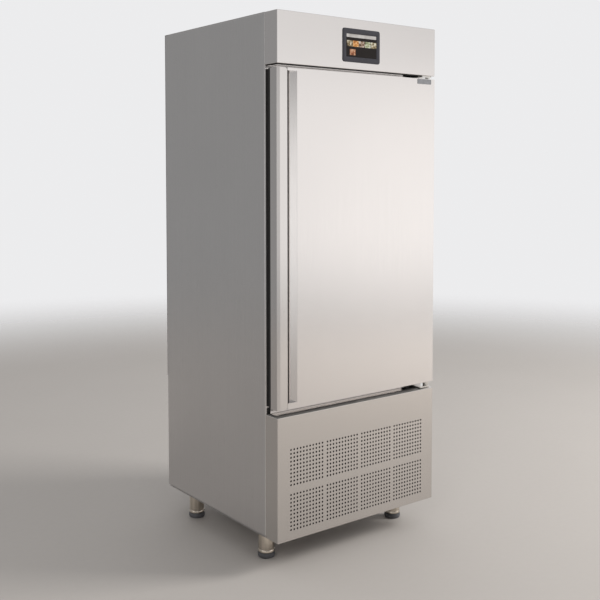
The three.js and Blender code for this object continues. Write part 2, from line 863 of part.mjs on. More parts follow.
function fanHole(z, y, thickness) {
  const disc = toSolid(barAlongY(fanOpening, [0, z], [y - past, y + thickness + past]));
  const span = [y - 2 * past, y + thickness + 2 * past];
  const beyond = [y - 3 * past, y + thickness + 3 * past];
  const ring = toSolid(barAlongY(guardRing + guardBar / 2, [0, z], span))
    .subtract(toSolid(barAlongY(guardRing - guardBar / 2, [0, z], beyond)));
  const half = guardBar / 2;
  const reach = fanOpening + past;
  return disc
    .subtract(ring)
    .subtract(toSolid(block([-half, half], span, [z - reach, z + reach])))
    .subtract(toSolid(block([-reach, reach], span, [z - half, z + half])));
}

function fanCowl() {
  const back = yChamberBack - fit;
  const plate = block([-cowlHalf, cowlHalf], [yCowl, yCowl + sheet], [cowlBottom, cowlTop]);
  const fold = [yCowl, yCowl + cowlFold];
  let cowl = join([
    plate,
    block([-cowlHalf, -cowlHalf + sheet], [yCowl, back], [cowlBottom, cowlTop]),
    block([cowlHalf - sheet, cowlHalf], [yCowl, back], [cowlBottom, cowlTop]),
    block([-cowlHalf, cowlHalf], fold, [cowlBottom, cowlBottom + sheet]),
    block([-cowlHalf, cowlHalf], fold, [cowlTop - sheet, cowlTop]),
  ]);
  for (const z of fanHeights) cowl = cowl.subtract(fanHole(z, yCowl, sheet));
  return cowl;
}

// Fan blades about an axis along Y; the hub's front face is at y.
function fanRotor(z, y) {
  const hub = barAlongY(fanHubRadius, [0, z], [y, y + fanHubDepth]);
  const pieces = [hub];
  for (let i = 0; i < fanBlades; i += 1) {
    const blade = new THREE.BoxGeometry(
      fanRadius - fanHubRadius / 2, fanBladeThickness, fanBladeWidth);
    blade.translate((fanRadius + fanHubRadius / 2) / 2, 0, 0);
    blade.rotateX(fanBladePitch);
    blade.rotateY((2 * Math.PI * i) / fanBlades);
    blade.translate(0, y + fanHubDepth / 2, z);
    pieces.push(blade);
  }
  const bore = barAlongY(motorShaft + pinClearance, [0, z],
    [y + fanHubDepth - motorShaftReach, y + fanHubDepth + past], small);
  return cut(pieces, [bore]);
}

// Motor behind the rotor, on a cross of bars whose legs reach the sheet in front.
function fanMotor(z, hubFront, sheetBack) {
  const front = hubFront + fanHubDepth + runningGap;
  const reach = fanOpening + motorBracketWidth;
  const half = motorBracketWidth / 2;
  const bar = [front + motorDepth / 2, front + motorDepth / 2 + motorBracket];
  const pieces = [
    barAlongY(motorRadius, [0, z], [front, front + motorDepth]),
    barAlongY(motorShaft, [0, z], [front - motorShaftReach + 2 * runningGap, front + past], small),
    block([-reach, reach], bar, [z - half, z + half]),
  ];
  for (const side of [-1, 1]) {
    const leg = side * (reach - half / 2);
    pieces.push(block([leg - half / 2, leg + half / 2], [sheetBack + fit, bar[1]],
      [z - half, z + half]));
  }
  return join(pieces);
}

// Finned coil: upright fins on a core, between two end plates.
function finnedCoil([x0, x1], [y0, y1], [z0, z1]) {
  const middle = (y0 + y1) / 2;
  const inner = [x0 + coilEndPlate, x1 - coilEndPlate];
  const pieces = [
    block([x0, inner[0] + past], [y0, y1], [z0, z1]),
    block([inner[1] - past, x1], [y0, y1], [z0, z1]),
    block(inner, [middle - coilCore / 2, middle + coilCore / 2], [z0, z1]),
  ];
  const pitch = (inner[1] - inner[0]) / (coilFins + 1);
  for (let i = 1; i <= coilFins; i += 1) {
    const x = inner[0] + i * pitch;
    pieces.push(block([x - coilFin / 2, x + coilFin / 2], [y0 + sheet, y1 - sheet],
      [z0 + sheet, z1 - sheet]));
  }
  return join(pieces);
}

const evaporatorHalf = chamberHalf - coilSideGap + coilEndPlate;
const evaporatorY = [yChamberBack - coilRearGap - coilDepth, yChamberBack - coilRearGap];
const evaporatorZ = [zFloor + coilBottom, zCeiling - coilTopGap];

function evaporatorCoil() {
  return finnedCoil([-evaporatorHalf, evaporatorHalf], evaporatorY, evaporatorZ);
}

function dripTray() {
  const half = cowlHalf - sheet - 2 * fit;
  const y = [yCowl + cowlFold + fit, yChamberBack - 2 * fit];
  const z = [zFloor + dripTrayLift, zFloor + dripTrayLift + dripTrayHeight];
  const notch = pipeRadius + 4 * fit;
  const corners = [-1, 1].map((side) => block(
    side < 0 ? [-half - past, -xPipe + notch] : [xPipe - notch, half + past],
    [yPipes - notch, y[1] + past], [z[0] - past, z[1] + past]));
  const inside = block([-half + sheet, half - sheet], [y[0] + sheet, yPipes - notch - sheet],
    [z[0] + sheet, z[1] + past]);
  const hole = barAlongZ(drainRadius - drainWall, [xDrain, yDrain], [z[0] - past, z[1]]);
  return cut([block([-half, half], y, z)], [...corners, inside, hole]);
}

function drainPipe() {
  const inner = drainRadius - drainWall;
  const bottom = zBase - drainBelow;
  const top = zFloor + dripTrayLift - fit;
  return turned([
    [inner, bottom], [drainRadius, bottom], [drainRadius, top], [inner, top], [inner, bottom],
  ], [xDrain, yDrain]);
}

// ---------------------------------------------------------------- refrigeration set

const zDeck = zBase + basePlate + fit;
const xCompressor = xPipe - 2 * pipeBend - compressorRadius;
const yCompressor = yBack - compressorFromRear;
const condenserY = [ySides + condenserBehindFrame, ySides + condenserBehindFrame + condenserDepth];
const condenserZ = [zDeck + condenserLift, zDeck + condenserLift + condenserHeight];
const zCondenserFan = (condenserZ[0] + condenserZ[1]) / 2;
const yShroudBack = condenserY[1] + fit + shroudDepth;
const yReceiver = yBack - receiverFromRear;
const receiverTop = zDeck + receiverHeight;
const xReceiver = xLeft + receiverFromSide;

function compressor() {
  const bottom = zDeck + compressorFoot;
  const centre = [xCompressor, yCompressor];
  const pieces = [
    drum(compressorRadius, compressorCap, [bottom, bottom + compressorHeight], centre),
    block([xCompressor - compressorLug, xCompressor + compressorLug],
      [yCompressor - compressorLug, yCompressor + compressorLug],
      [bottom, bottom + 2 * basePlate]),
  ];
  for (const x of [xCompressor - compressorLug, xCompressor + compressorLug]) {
    for (const y of [yCompressor - compressorLug, yCompressor + compressorLug]) {
      pieces.push(barAlongZ(compressorFoot, [x, y], [zDeck, bottom + compressorFoot], small));
    }
  }
  return join(pieces);
}

function condenserCoil() {
  const half = condenserWidth / 2;
  const legs = [[-half, -half + coilEndPlate], [half - coilEndPlate, half]];
  return finnedCoil([-half, half], condenserY, condenserZ)
    .add(join(legs.map((x) => block(x, condenserY, [zDeck, condenserZ[0] + past]))));
}

function condenserShroud() {
  const y = [condenserY[1] + fit, yShroudBack];
  const half = condenserWidth / 2;
  const outer = block([-half, half], y, condenserZ);
  const inside = block([-half + sheet, half - sheet], [y[0] - past, y[1] - sheet],
    [condenserZ[0] + sheet, condenserZ[1] - sheet]);
  const opening = barAlongY(fanOpening, [0, zCondenserFan], [y[1] - sheet - past, y[1] + past]);
  return cut([outer], [inside, opening]);
}

// Condenser fan: motor on the outside of the shroud, held by legs on its rear face.
function condenserMotor() {
  const hubFront = yShroudBack - fanHubDepth;
  return fanMotor(zCondenserFan, hubFront, yShroudBack);
}

function receiver() {
  return join([
    drum(receiverRadius, receiverCap, [zDeck, receiverTop], [xReceiver, yReceiver]),
    block([xReceiver - receiverFoot, xReceiver + receiverFoot],
      [yReceiver - receiverFoot, yReceiver + receiverFoot], [zDeck, zDeck + receiverCap]),
  ]);
}

const zDrier = receiverTop + drierRise;
const drierX = [xReceiver + pipeBend * 2, xReceiver + pipeBend * 2 + drierLength];

function filterDrier() {
  return barAlongX(drierRadius, [yReceiver, zDrier], drierX, small);
}

// A pipe through corner points, each corner rounded to the bend radius.
function pipe(points, radius) {
  const corners = points.map((p) => new THREE.Vector3(...p));
  const route = [corners[0]];
  for (let i = 1; i < corners.length - 1; i += 1) {
    const before = corners[i - 1].clone().sub(corners[i]).setLength(pipeBend).add(corners[i]);
    const after = corners[i + 1].clone().sub(corners[i]).setLength(pipeBend).add(corners[i]);
    route.push(...new THREE.QuadraticBezierCurve3(before, corners[i], after).getPoints(bendSteps));
  }
  route.push(corners[corners.length - 1]);
  const line = route.filter((p, i) => i === 0 || p.distanceTo(route[i - 1]) > 1);
  const positions = [];
  const normal = new THREE.Vector3();
  line.forEach((point, i) => {
    const ahead = line[Math.min(i + 1, line.length - 1)];
    const behind = line[Math.max(i - 1, 0)];
    const along = ahead.clone().sub(behind).normalize();
    if (i === 0) normal.set(along.y, along.z, along.x);
    normal.addScaledVector(along, -normal.dot(along)).normalize();
    const across = along.clone().cross(normal);
    for (let k = 0; k < pipeSides; k += 1) {
      const angle = (2 * Math.PI * k) / pipeSides;
      positions.push(point.clone()
        .addScaledVector(normal, radius * Math.cos(angle))
        .addScaledVector(across, radius * Math.sin(angle)));
    }
  });
  const faces = [];
  for (let i = 0; i < line.length - 1; i += 1) {
    for (let k = 0; k < pipeSides; k += 1) {
      const a = i * pipeSides + k;
      const b = i * pipeSides + ((k + 1) % pipeSides);
      faces.push(a, b, b + pipeSides, a, b + pipeSides, a + pipeSides);
    }
  }
  const last = (line.length - 1) * pipeSides;
  for (let k = 1; k < pipeSides - 1; k += 1) {
    faces.push(0, k + 1, k, last, last + k, last + k + 1);
  }
  const geometry = new THREE.BufferGeometry().setFromPoints(positions);
  geometry.setIndex(faces);
  geometry.computeVertexNormals();
  return geometry;
}

function suctionLine() {
  const start = xCompressor + compressorRadius + fit;
  const z = zDeck + compressorFoot + compressorPort;
  return pipe([
    [start, yCompressor, z],
    [xPipe, yCompressor, z],
    [xPipe, yPipes, z],
    [xPipe, yPipes, evaporatorZ[0] - fit],
  ], pipeRadius);
}

function dischargeLine() {
  const z = zDeck + compressorFoot + compressorPort;
  const x = condenserWidth / 2 - coilEndPlate / 2;
  const yMiddle = yShroudBack + motorDepth;
  return pipe([
    [xCompressor, yCompressor - compressorRadius - fit, z],
    [xCompressor, yMiddle, z],
    [x, yMiddle, z],
    [x, yMiddle, condenserZ[1] + pipeBend * 2],
    [x, condenserY[0] + condenserDepth / 2, condenserZ[1] + pipeBend * 2],
    [x, condenserY[0] + condenserDepth / 2, condenserZ[1] + fit],
  ], pipeRadius);
}

function receiverLine() {
  const x = -condenserWidth / 2 + coilEndPlate / 2;
  const z = condenserZ[1] + pipeBend * 2;
  return pipe([
    [x, condenserY[0] + condenserDepth / 2, condenserZ[1] + fit],
    [x, condenserY[0] + condenserDepth / 2, z],
    [x, yReceiver - receiverRadius - pipeBend * 2, z],
    [x, yReceiver - receiverRadius - pipeBend * 2, receiverTop - receiverRadius],
    [xReceiver, yReceiver - receiverRadius - pipeBend * 2, receiverTop - receiverRadius],
    [xReceiver, yReceiver - receiverRadius - fit, receiverTop - receiverRadius],
  ], pipeRadius);
}

function liquidLine() {
  const z = zDrier;
  return pipe([
    [xReceiver, yReceiver, receiverTop + fit],
    [xReceiver, yReceiver, z],
    [drierX[0] - fit, yReceiver, z],
  ], pipeRadius);
}

function evaporatorFeed() {
  const yTurn = yReceiver + 2 * pipeBend;
  const xTurn = drierX[1] + pipeBend * 2;
  return pipe([
    [drierX[1] + fit, yReceiver, zDrier],
    [xTurn, yReceiver, zDrier],
    [xTurn, yTurn, zDrier],
    [-xPipe, yTurn, zDrier],
    [-xPipe, yPipes, zDrier],
    [-xPipe, yPipes, evaporatorZ[0] - fit],
  ], pipeRadius);
}

function powerGland() {
  const plate = yBack - rearCoverSink;
  const centre = [xRight - glandFromSide, zBase + glandHeight];
  const inside = plate - glandLength / 2;
  const outside = plate + sheet + fit;
  return cut([
    barAlongY(glandRadius, centre, [inside, outside + past], small),
    barAlongY(glandNut, centre, [outside, outside + glandLength], 6),
  ], [
    barAlongY(glandBore, centre, [inside - past, outside + glandLength + past], small),
  ]);
}

// ---------------------------------------------------------------- feet

const footPlaces = [
  ['front_left', xLeft + footFromSide, yFront + footFromFront],
  ['front_right', xRight - footFromSide, yFront + footFromFront],
  ['rear_left', xLeft + footFromSide, yBack - footFromRear],
  ['rear_right', xRight - footFromSide, yBack - footFromRear],
];

function footSocket(x, y) {
  const half = footPlateSize / 2;
  const plateTop = zBase - fit;
  const plateBottom = plateTop - footPlateThickness;
  const tubeBottom = footPadHeight + footReveal;
  const inner = footTubeRadius - footTubeWall;
  const guide = footStemRadius + fit;
  const tube = turned([
    [guide, tubeBottom], [footTubeRadius, tubeBottom], [footTubeRadius, plateBottom + past],
    [inner, plateBottom + past], [inner, tubeBottom + 2 * footTubeWall],
    [guide, tubeBottom + 2 * footTubeWall], [guide, tubeBottom],
  ], [x, y]);
  return join([block([x - half, x + half], [y - half, y + half], [plateBottom, plateTop]), tube]);
}

function footBase(x, y) {
  const r = footPadRadius;
  const b = footPadBevel;
  return turned([
    [0, 0], [r - b, 0], [r, b], [r, footPadHeight], [footStemRadius, footPadHeight],
    [footStemRadius, zBase - footStemHead], [0, zBase - footStemHead],
  ], [x, y]);
}

// ---------------------------------------------------------------- build

place('left_side_panel', sidePanel(-1), steel);
place('right_side_panel', sidePanel(1), steel);
place('top_panel', topPanel(), steel);
place('rear_panel', rearPanel(), steel);
place('base_panel', basePanel(), steel);
place('front_frame', frontFrame(), steel);
place('cabinet_insulation', insulation(), foam);
place('inner_liner', innerLiner(), liner);
place('rear_service_cover', rearCover(), steel);
place('control_fascia', fascia(), satin);
place('display_bezel', bezel(), greyPlastic);
place('touch_screen', screen(), glass);
place('display_housing', displayHousing(), blackPlastic);
place('electrical_box', electricalBox(), steel);
place('control_board', controlBoard(), circuit);
place('grille_panel', grillePanel(), satin);
place('door_outer_skin', doorSkin(), satin);
place('door_handle', doorHandle(), satin);
place('door_insulation', doorInsulation(), foam);
place('door_inner_panel', doorInnerPanel(), liner);
place('door_frame_profile', doorFrame(), blackPlastic);
place('door_gasket', doorGasket(), rubber);
place('badge_plate', badge(), aluminium);
place('hinge_bush_bottom', hingeBush(-1), blackPlastic);
place('hinge_bush_top', hingeBush(1), blackPlastic);
place('hinge_bracket_bottom', hingeBracket(-1), steel);
place('hinge_bracket_top', hingeBracket(1), steel);
place('tray_rack_left', trayRack(-1), liner);
place('tray_rack_right', trayRack(1), liner);
place('fan_cowl', fanCowl(), liner);
fanHeights.forEach((z, i) => {
  place(`evaporator_fan_${i + 1}`, fanRotor(z, yCowl + fanSetback), blackPlastic);
  place(`evaporator_motor_${i + 1}`, fanMotor(z, yCowl + fanSetback, yCowl + sheet), blackPaint);
});
place('evaporator_coil', evaporatorCoil(), aluminium);
place('drip_tray', dripTray(), liner);
place('drain_pipe', drainPipe(), blackPlastic);
place('compressor', compressor(), blackPaint);
place('condenser_coil', condenserCoil(), aluminium);
place('condenser_shroud', condenserShroud(), blackPaint);
place('condenser_fan', fanRotor(zCondenserFan, yShroudBack - fanHubDepth), blackPlastic);
place('condenser_motor', condenserMotor(), blackPaint);
place('liquid_receiver', receiver(), blackPaint);
place('filter_drier', filterDrier(), copper);
place('suction_line', suctionLine(), copper);
place('discharge_line', dischargeLine(), copper);
place('receiver_line', receiverLine(), copper);
place('liquid_line', liquidLine(), copper);
place('evaporator_feed', evaporatorFeed(), copper);
place('power_gland', powerGland(), blackPlastic);
for (const [corner, x, y] of footPlaces) {
  place(`foot_socket_${corner}`, footSocket(x, y), steel);
  place(`foot_base_${corner}`, footBase(x, y), greyPlastic);
}

export default chiller;
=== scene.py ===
"""Upright blast chiller: its looks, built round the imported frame."""

from math import cos, pi, radians, sin, sqrt

import bmesh
import bpy
from mathutils import Matrix, Vector

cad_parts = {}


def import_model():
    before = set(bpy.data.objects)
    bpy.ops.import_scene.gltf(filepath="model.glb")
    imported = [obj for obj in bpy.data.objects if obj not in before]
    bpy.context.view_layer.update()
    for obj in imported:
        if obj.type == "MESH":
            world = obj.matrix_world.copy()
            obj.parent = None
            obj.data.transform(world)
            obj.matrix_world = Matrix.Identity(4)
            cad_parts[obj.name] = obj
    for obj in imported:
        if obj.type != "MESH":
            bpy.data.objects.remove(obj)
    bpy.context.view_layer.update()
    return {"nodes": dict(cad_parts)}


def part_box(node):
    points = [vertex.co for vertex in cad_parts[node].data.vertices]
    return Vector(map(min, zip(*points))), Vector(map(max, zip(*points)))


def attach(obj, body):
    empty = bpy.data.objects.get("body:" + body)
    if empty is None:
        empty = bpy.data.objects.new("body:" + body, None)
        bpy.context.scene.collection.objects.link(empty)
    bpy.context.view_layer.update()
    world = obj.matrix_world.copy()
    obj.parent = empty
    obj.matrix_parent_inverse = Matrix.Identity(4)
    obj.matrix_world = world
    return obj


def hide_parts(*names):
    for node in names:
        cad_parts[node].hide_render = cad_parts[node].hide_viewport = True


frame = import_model()

scene = bpy.context.scene
ops = bmesh.ops
MM = 0.001  # shapes are written in millimetres


def span(node):
    """A CAD node's box in millimetres: (x0, x1), (y0, y1), (z0, z1)."""
    low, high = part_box(node)
    return [(a / MM, b / MM) for a, b in zip(low, high)]


def middle(pair):
    return (pair[0] + pair[1]) / 2


def inset(pair, by):
    return (pair[0] + by, pair[1] - by)


def around(value, half):
    return (value - half, value + half)


# ---- materials


def feed(tree, node, *ordered, **named):
    """Sets or links a node's inputs, in their order or by name."""
    for key, value in [*enumerate(ordered), *named.items()]:
        socket = node.inputs[key.replace("_", " ") if isinstance(key, str) else key]
        if isinstance(value, bpy.types.NodeSocket):
            tree.links.new(value, socket)
        else:
            socket.default_value = value


def add_node(tree, kind, *ordered, operation=None, **named):
    made = tree.nodes.new("ShaderNode" + kind)
    if operation:
        made.operation = operation
    feed(tree, made, *ordered, **named)
    return made


def ramp_of(tree, source, stops):
    node = add_node(tree, "ValToRGB", source)
    elements = node.color_ramp.elements
    while len(elements) < len(stops):
        elements.new(0.5)
    for element, (place, colour) in zip(elements, stops):
        element.position = place
        element.color = (*colour, 1)
    return node.outputs["Color"]


def mapped(tree, source, low, high, start=0, end=1, smooth=False):
    """From start to end as the source goes from low to high."""
    node = add_node(tree, "MapRange", source, low, high, start, end)
    if smooth:
        node.interpolation_type = "SMOOTHSTEP"
    return node.outputs["Result"]


def noise_of(tree, scale, detail=3, rough=0.55, stretch=(1, 1, 1), offset=(0, 0, 0)):
    """Noise in the object's own coordinates; more stretch makes it finer that way."""
    place = add_node(tree, "TexCoord").outputs["Object"]
    mapping = add_node(tree, "Mapping", Vector=place, Location=offset,
        Scale=[scale * s for s in stretch])
    noise = add_node(tree, "TexNoise", Vector=mapping.outputs["Vector"], Scale=1,
        Detail=detail, Roughness=rough)
    return noise.outputs["Fac"]


def blank(name):
    """A new material, its nodes and its shader."""
    made = bpy.data.materials.new(name)
    made.use_nodes = True
    return made, made.node_tree, made.node_tree.nodes["Principled BSDF"]


NOISE_LOW, NOISE_HIGH = 0.3, 0.7  # most of a noise lies between them


def finish(name, colour, metallic, roughness, vary, blotch, grain=300, stretch=(1, 1, 1),
        bump=0.08, depth=0.0001, swing=0.05, streak=0, **sockets):
    """A material with blotches and streaks in its colour, and grain in its gloss."""
    made, tree, shader = blank(name)
    tone = noise_of(tree, blotch)
    if streak:
        lines = noise_of(tree, grain / 20, 4, 0.6, stretch)
        tone = add_node(tree, "Mix", Factor=streak, A=tone, B=lines).outputs["Result"]
    stops = [(place, [min(1, c * share) for c in colour]) for place,
        share in ((NOISE_LOW, 1 - vary), (NOISE_HIGH, 1 + vary))]
    fine = noise_of(tree, grain, 2, 0.5, stretch)
    gloss = mapped(tree, fine, NOISE_LOW, NOISE_HIGH, roughness - swing, roughness + swing)
    feed(tree, shader, Metallic=metallic, Roughness=gloss, Base_Color=ramp_of(tree, tone, stops),
        **sockets)
    if bump:
        relief = add_node(tree, "Bump", Strength=bump, Distance=depth, Height=fine)
        feed(tree, shader, Normal=relief.outputs["Normal"])
    return made


def brushed(name, colour, roughness, vary, blotch, streak, bump=0.02, swing=0.025):
    """Steel brushed up and down."""
    return finish(name, colour, 1, roughness, vary, blotch, 1700, (1, 1, 0.008), bump, swing=swing,
        streak=streak)


steel_side = brushed("steel_side", (0.7, 0.685, 0.68), 0.3, 0.026, 2.5, 0.5, 0.03, 0.03)
steel_front = brushed("steel_front", (0.778, 0.75, 0.738), 0.17, 0.014, 1.5, 0.3)
steel_lip = brushed("steel_lip", (0.718, 0.69, 0.676), 0.16, 0.01, 1.5, 0.3)
steel_panel = brushed("steel_panel", (0.69, 0.66, 0.635), 0.17, 0.012, 1.5, 0.12, swing=0.02)
steel_liner = brushed("steel_liner", (0.66, 0.66, 0.655), 0.36, 0.03, 4, 0.5, 0.04, 0.05)
steel_bright = finish("steel_bright", (0.74, 0.72, 0.69), 1, 0.18, 0.04, 20, bump=0.04)
# the foot tubes' steel: its strong vertical colour streaks are partly brushing and partly painted
# reflection bands
foot_grain_and_painted_bands = finish("foot_grain_and_painted_bands", (0.74, 0.67, 0.58), 1, 0.13, 0.34, 30, 1700, (1, 1, 0.004),
    streak=0.9, bump=0.04, swing=0.03)
plastic_black = finish("plastic_black", (0.015, 0.014, 0.0135), 0, 0.5, 0.2, 12, 1500, bump=0.15,
    Specular_IOR_Level=0.35)
plastic_bezel = finish("plastic_bezel", (0.036, 0.035, 0.044), 0, 0.48, 0.12, 15, 2200, bump=0.12)
rubber_black = finish("rubber_black", (0.012, 0.0115, 0.011), 0, 0.72, 0.25, 20, 900, bump=0.2)
# painted shade: the grey of the strip on the ledge, which stands in for the dark reflection there
painted_shade_grey = finish("painted_shade_grey", (0.15, 0.142, 0.136), 0, 0.6, 0.2, 20, 900, bump=0.2)
pad_grey = finish("pad_grey", (0.1, 0.1, 0.108), 0, 0.55, 0.2, 40, 1200, bump=0.3)
# painted shade: a near-black mat behind the grille's holes, which stands in for the shade inside
# them
painted_shade_black = finish("painted_shade_black", (0.01, 0.008, 0.008), 0, 0.9, 0.4, 400, 2500, bump=0.6,
    Specular_IOR_Level=0.1)
foam_cream = finish("foam_cream", (0.78, 0.7, 0.48), 0, 0.9, 0.1, 25, 700, bump=0.6, depth=0.0006)
coil_metal = finish("coil_metal", (0.66, 0.68, 0.69), 1, 0.42, 0.08, 15, stretch=(1, 1, 0.05))
copper = finish("copper", (0.72, 0.4, 0.26), 1, 0.3, 0.12, 25)
paint_black = finish("paint_black", (0.018, 0.018, 0.02), 0, 0.36, 0.25, 20, 1400, bump=0.25,
    Coat_Weight=0.2)
badge_metal = finish("badge_metal", (0.32, 0.325, 0.34), 1, 0.3, 0.1, 60, 900, (0.02, 1, 1))
board_green = finish("board_green", (0.03, 0.17, 0.085), 0, 0.45, 0.3, 90, 800, Coat_Weight=0.4)
screen_black = finish("screen_black", (0.014, 0.011, 0.01), 0, 0.09, 0.1, 20, 200, bump=0,
    swing=0.02, Specular_IOR_Level=0.16)


# ---- shapes


def loft(bm, loops, ring=False, caps=True):
    """Skins loops of points; ring joins the last to the first."""
    rows = [[bm.verts.new(point) for point in loop] for loop in loops]
    pairs = list(zip(rows, rows[1:])) + ([(rows[-1], rows[0])] if ring else [])
    for a, b in pairs:
        for i in range(len(a)):
            j = (i + 1) % len(a)
            bm.faces.new((a[i], a[j], b[j], b[i]))
    if caps and not ring:
        bm.faces.new(list(reversed(rows[0])))
        bm.faces.new(rows[-1])
    return rows


def circle(centre, radius, axis, sides):
    u, v = {"x": (1, 2), "y": (0, 2), "z": (0, 1)}[axis]
    points = []
    for i in range(sides):
        point = list(centre)
        point[u] += radius * cos(2 * pi * i / sides)
        point[v] += radius * sin(2 * pi * i / sides)
        points.append(point)
    return points


def turned(bm, profile, centre, axis="z", sides=48, ring=False):
    """A turned solid; the profile's points are (radius, distance along the axis)."""
    loops = []
    for radius, along in profile:
        place = list(centre)
        place["xyz".index(axis)] += along
        loops.append(circle(place, max(radius, 0.02), axis, sides))
    loft(bm, loops, ring)


def bevel(bm, edges, radius, segments):
    ops.bevel(bm, geom=list(edges), offset=radius, segments=segments, profile=0.5, affect="EDGES",
        clamp_overlap=True)


def rectangle(x, z):
    return [(x[0], z[0]), (x[1], z[0]), (x[1], z[1]), (x[0], z[1])]


def block(bm, x, y, z, radius=0, segments=2):
    """A box with all its edges rounded."""
    plan = rectangle(sorted(x), sorted(y))
    rows = loft(bm, [[(a, b, level) for a, b in plan] for level in sorted(z)])
    if radius:
        bevel(bm, {e for row in rows for v in row for e in v.link_edges}, radius, segments)


def rounded(x, z, radius, y, steps=4):
    """A rounded rectangle in the XZ plane."""
    a, b = inset(x, radius), inset(z, radius)
    points = []
    for cx, cz, start in ((a[1], b[0], -90), (a[1], b[1], 0), (a[0], b[1], 90), (a[0], b[0], 180)):
        for i in range(steps + 1):
            angle = radians(start + 90 * i / steps)
            points.append((cx + radius * cos(angle), y, cz + radius * sin(angle)))
    return points


def stepped(x, z, rows, steps=4):
    """Rounded rectangles one inside another; rows hold (inset, corner radius, y)."""
    return [rounded(inset(x, by), inset(z, by), radius, y, steps) for by, radius, y in rows]


def quarter(radius, steps=4):
    """Steps round a quarter circle: how far in, and how far there is to go."""
    turns = [pi / 2 * i / steps for i in range(1, steps + 1)]
    return [(radius * (1 - cos(turn)), radius * (1 - sin(turn))) for turn in turns]


def plate(bm, x, z, radius, y, edge=0.3):
    """A thin plate with a softened front edge; y is (front, back)."""
    loft(bm, stepped(x, z, [(0, radius, y[1]), (0, radius, y[0] + edge),
        (edge, radius - edge, y[0])]))


def tube(bm, points, radius, sides, closed=False):
    line = [Vector(point) for point in points]
    first, last = (line[-1], line[0]) if closed else (line[0], line[-1])
    turns = [2 * pi * k / sides for k in range(sides)]
    loops, normal = [], None
    for behind, point, ahead in zip([first, *line], line, [*line[1:], last]):
        along = (ahead - behind).normalized()
        normal = normal or along.orthogonal()
        normal = (normal - along * normal.dot(along)).normalized()
        across = along.cross(normal)
        loops.append([point + radius * (cos(t) * normal + sin(t) * across) for t in turns])
    loft(bm, loops, ring=closed)


def framed(bm, profile, x, z):
    """A profile of (inset, y) points swept round a rectangle."""
    loft(bm, [[(a, y, b) for a, b in rectangle(inset(x, by), inset(z, by))] for by, y in profile],
        ring=True)


def corners(centre, by, z):
    """The four places round a centre."""
    return [(centre[0] + sx, centre[1] + sy, z) for sx in (-by, by) for sy in (-by, by)]


def placed(name, data):
    made = bpy.data.objects.new(name, data)
    scene.collection.objects.link(made)
    return made


def mesh_object(name, bm, look, outward=True):
    """The mesh as an object, in metres."""
    if outward:
        ops.recalc_face_normals(bm, faces=bm.faces)
    mesh = bpy.data.meshes.new(name)
    bm.to_mesh(mesh)
    bm.free()
    mesh.transform(Matrix.Scale(MM, 4))
    mesh.materials.append(look)
    return placed(name, mesh)


def piece(name, bm, look, replaces=(), body="cabinet", sharp=35, outward=True):
    """Makes the mesh a piece that rides on a body."""
    made = mesh_object(name, bm, look, outward)
    made.data.shade_smooth()
    made.data.set_sharp_from_angle(angle=radians(sharp))
    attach(made, body)
    if replaces:
        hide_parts(*replaces)
    return made


SHEET = 1.2
FORWARD, BACKWARD = (0, -1, 0), (0, 1, 0)


def turn_out(bm, toward):
    """Turns an open skin's faces outwards: the widest one looks toward."""
    ops.recalc_face_normals(bm, faces=bm.faces)
    bm.normal_update()
    way = Vector(toward)
    widest = max(bm.faces, key=lambda f: f.calc_area() * (abs(f.normal.dot(way)) > 0.99))
    if widest.normal.dot(way) < 0:
        ops.reverse_faces(bm, faces=bm.faces)


def sheet(name, bm, look, replaces, body="cabinet", thick=SHEET, toward=FORWARD, sharp=35):
    """Makes an open skin a sheet piece; wide faces shade flat between its folds."""
    if toward:
        turn_out(bm, toward)
    made = piece(name, bm, look, replaces, body, sharp, outward=False)
    solid = made.modifiers.new("sheet", "SOLIDIFY")
    solid.thickness = thick * MM
    solid.offset = -1
    solid.use_even_offset = True
    weighted = made.modifiers.new("crisp", "WEIGHTED_NORMAL")
    weighted.mode = "FACE_AREA"
    weighted.weight = 60
    weighted.keep_sharp = True


def dress(node, look, soft):
    """Gives a CAD node its material and slightly rounded edges."""
    made = frame["nodes"][node]
    made.data.materials.clear()
    made.data.materials.append(look)
    if soft:
        weld = made.modifiers.new("weld", "WELD")
        weld.merge_threshold = 0.00001
        edge = made.modifiers.new("edge", "BEVEL")
        edge.width = soft * MM
        edge.segments = 2
        edge.limit_method = "ANGLE"
        edge.angle_limit = radians(40)


# ---- folded front sheets


def pan(bm, x, y, z, fold=2, stop=0):
    """A folded sheet's returns and folds; gives the front face's rim.

    y is (front, back); stop is how far back some of the returns end.
    """
    corner = fold + 0.5
    depths = [y[1], y[0] + stop, y[0] + fold] if stop else [y[1], y[0] + fold]
    rows = [(0, corner, depth) for depth in depths]
    rows += [(by, corner - by, y[0] + deep) for by, deep in quarter(fold)]
    return loft(bm, stepped(x, z, rows), caps=False)[-1]


def drop(bm, test):
    """Deletes the faces whose middles pass the test."""
    gone = [f for f in bm.faces if test(*f.calc_center_median())]
    ops.delete(bm, geom=gone, context="FACES")


def round_folds(bm, radius):
    """Rounds the edges at which an open skin turns a corner."""
    bm.normal_update()
    bevel(bm, [e for e in bm.edges if len(e.link_faces) == 2
        and e.calc_face_angle() > radians(20)], radius, 3)


def edges_round(bm, verts):
    return [bm.edges.get(pair) or bm.edges.new(pair)
        for pair in zip(verts, [*verts[1:], verts[0]])]


def fill_between(bm, rim, *openings):
    """Fills a flat face from its rim to the openings' edges."""
    edges = edges_round(bm, rim)
    for opening in openings:
        edges += edges_round(bm, opening)
    ops.triangle_fill(bm, edges=edges)


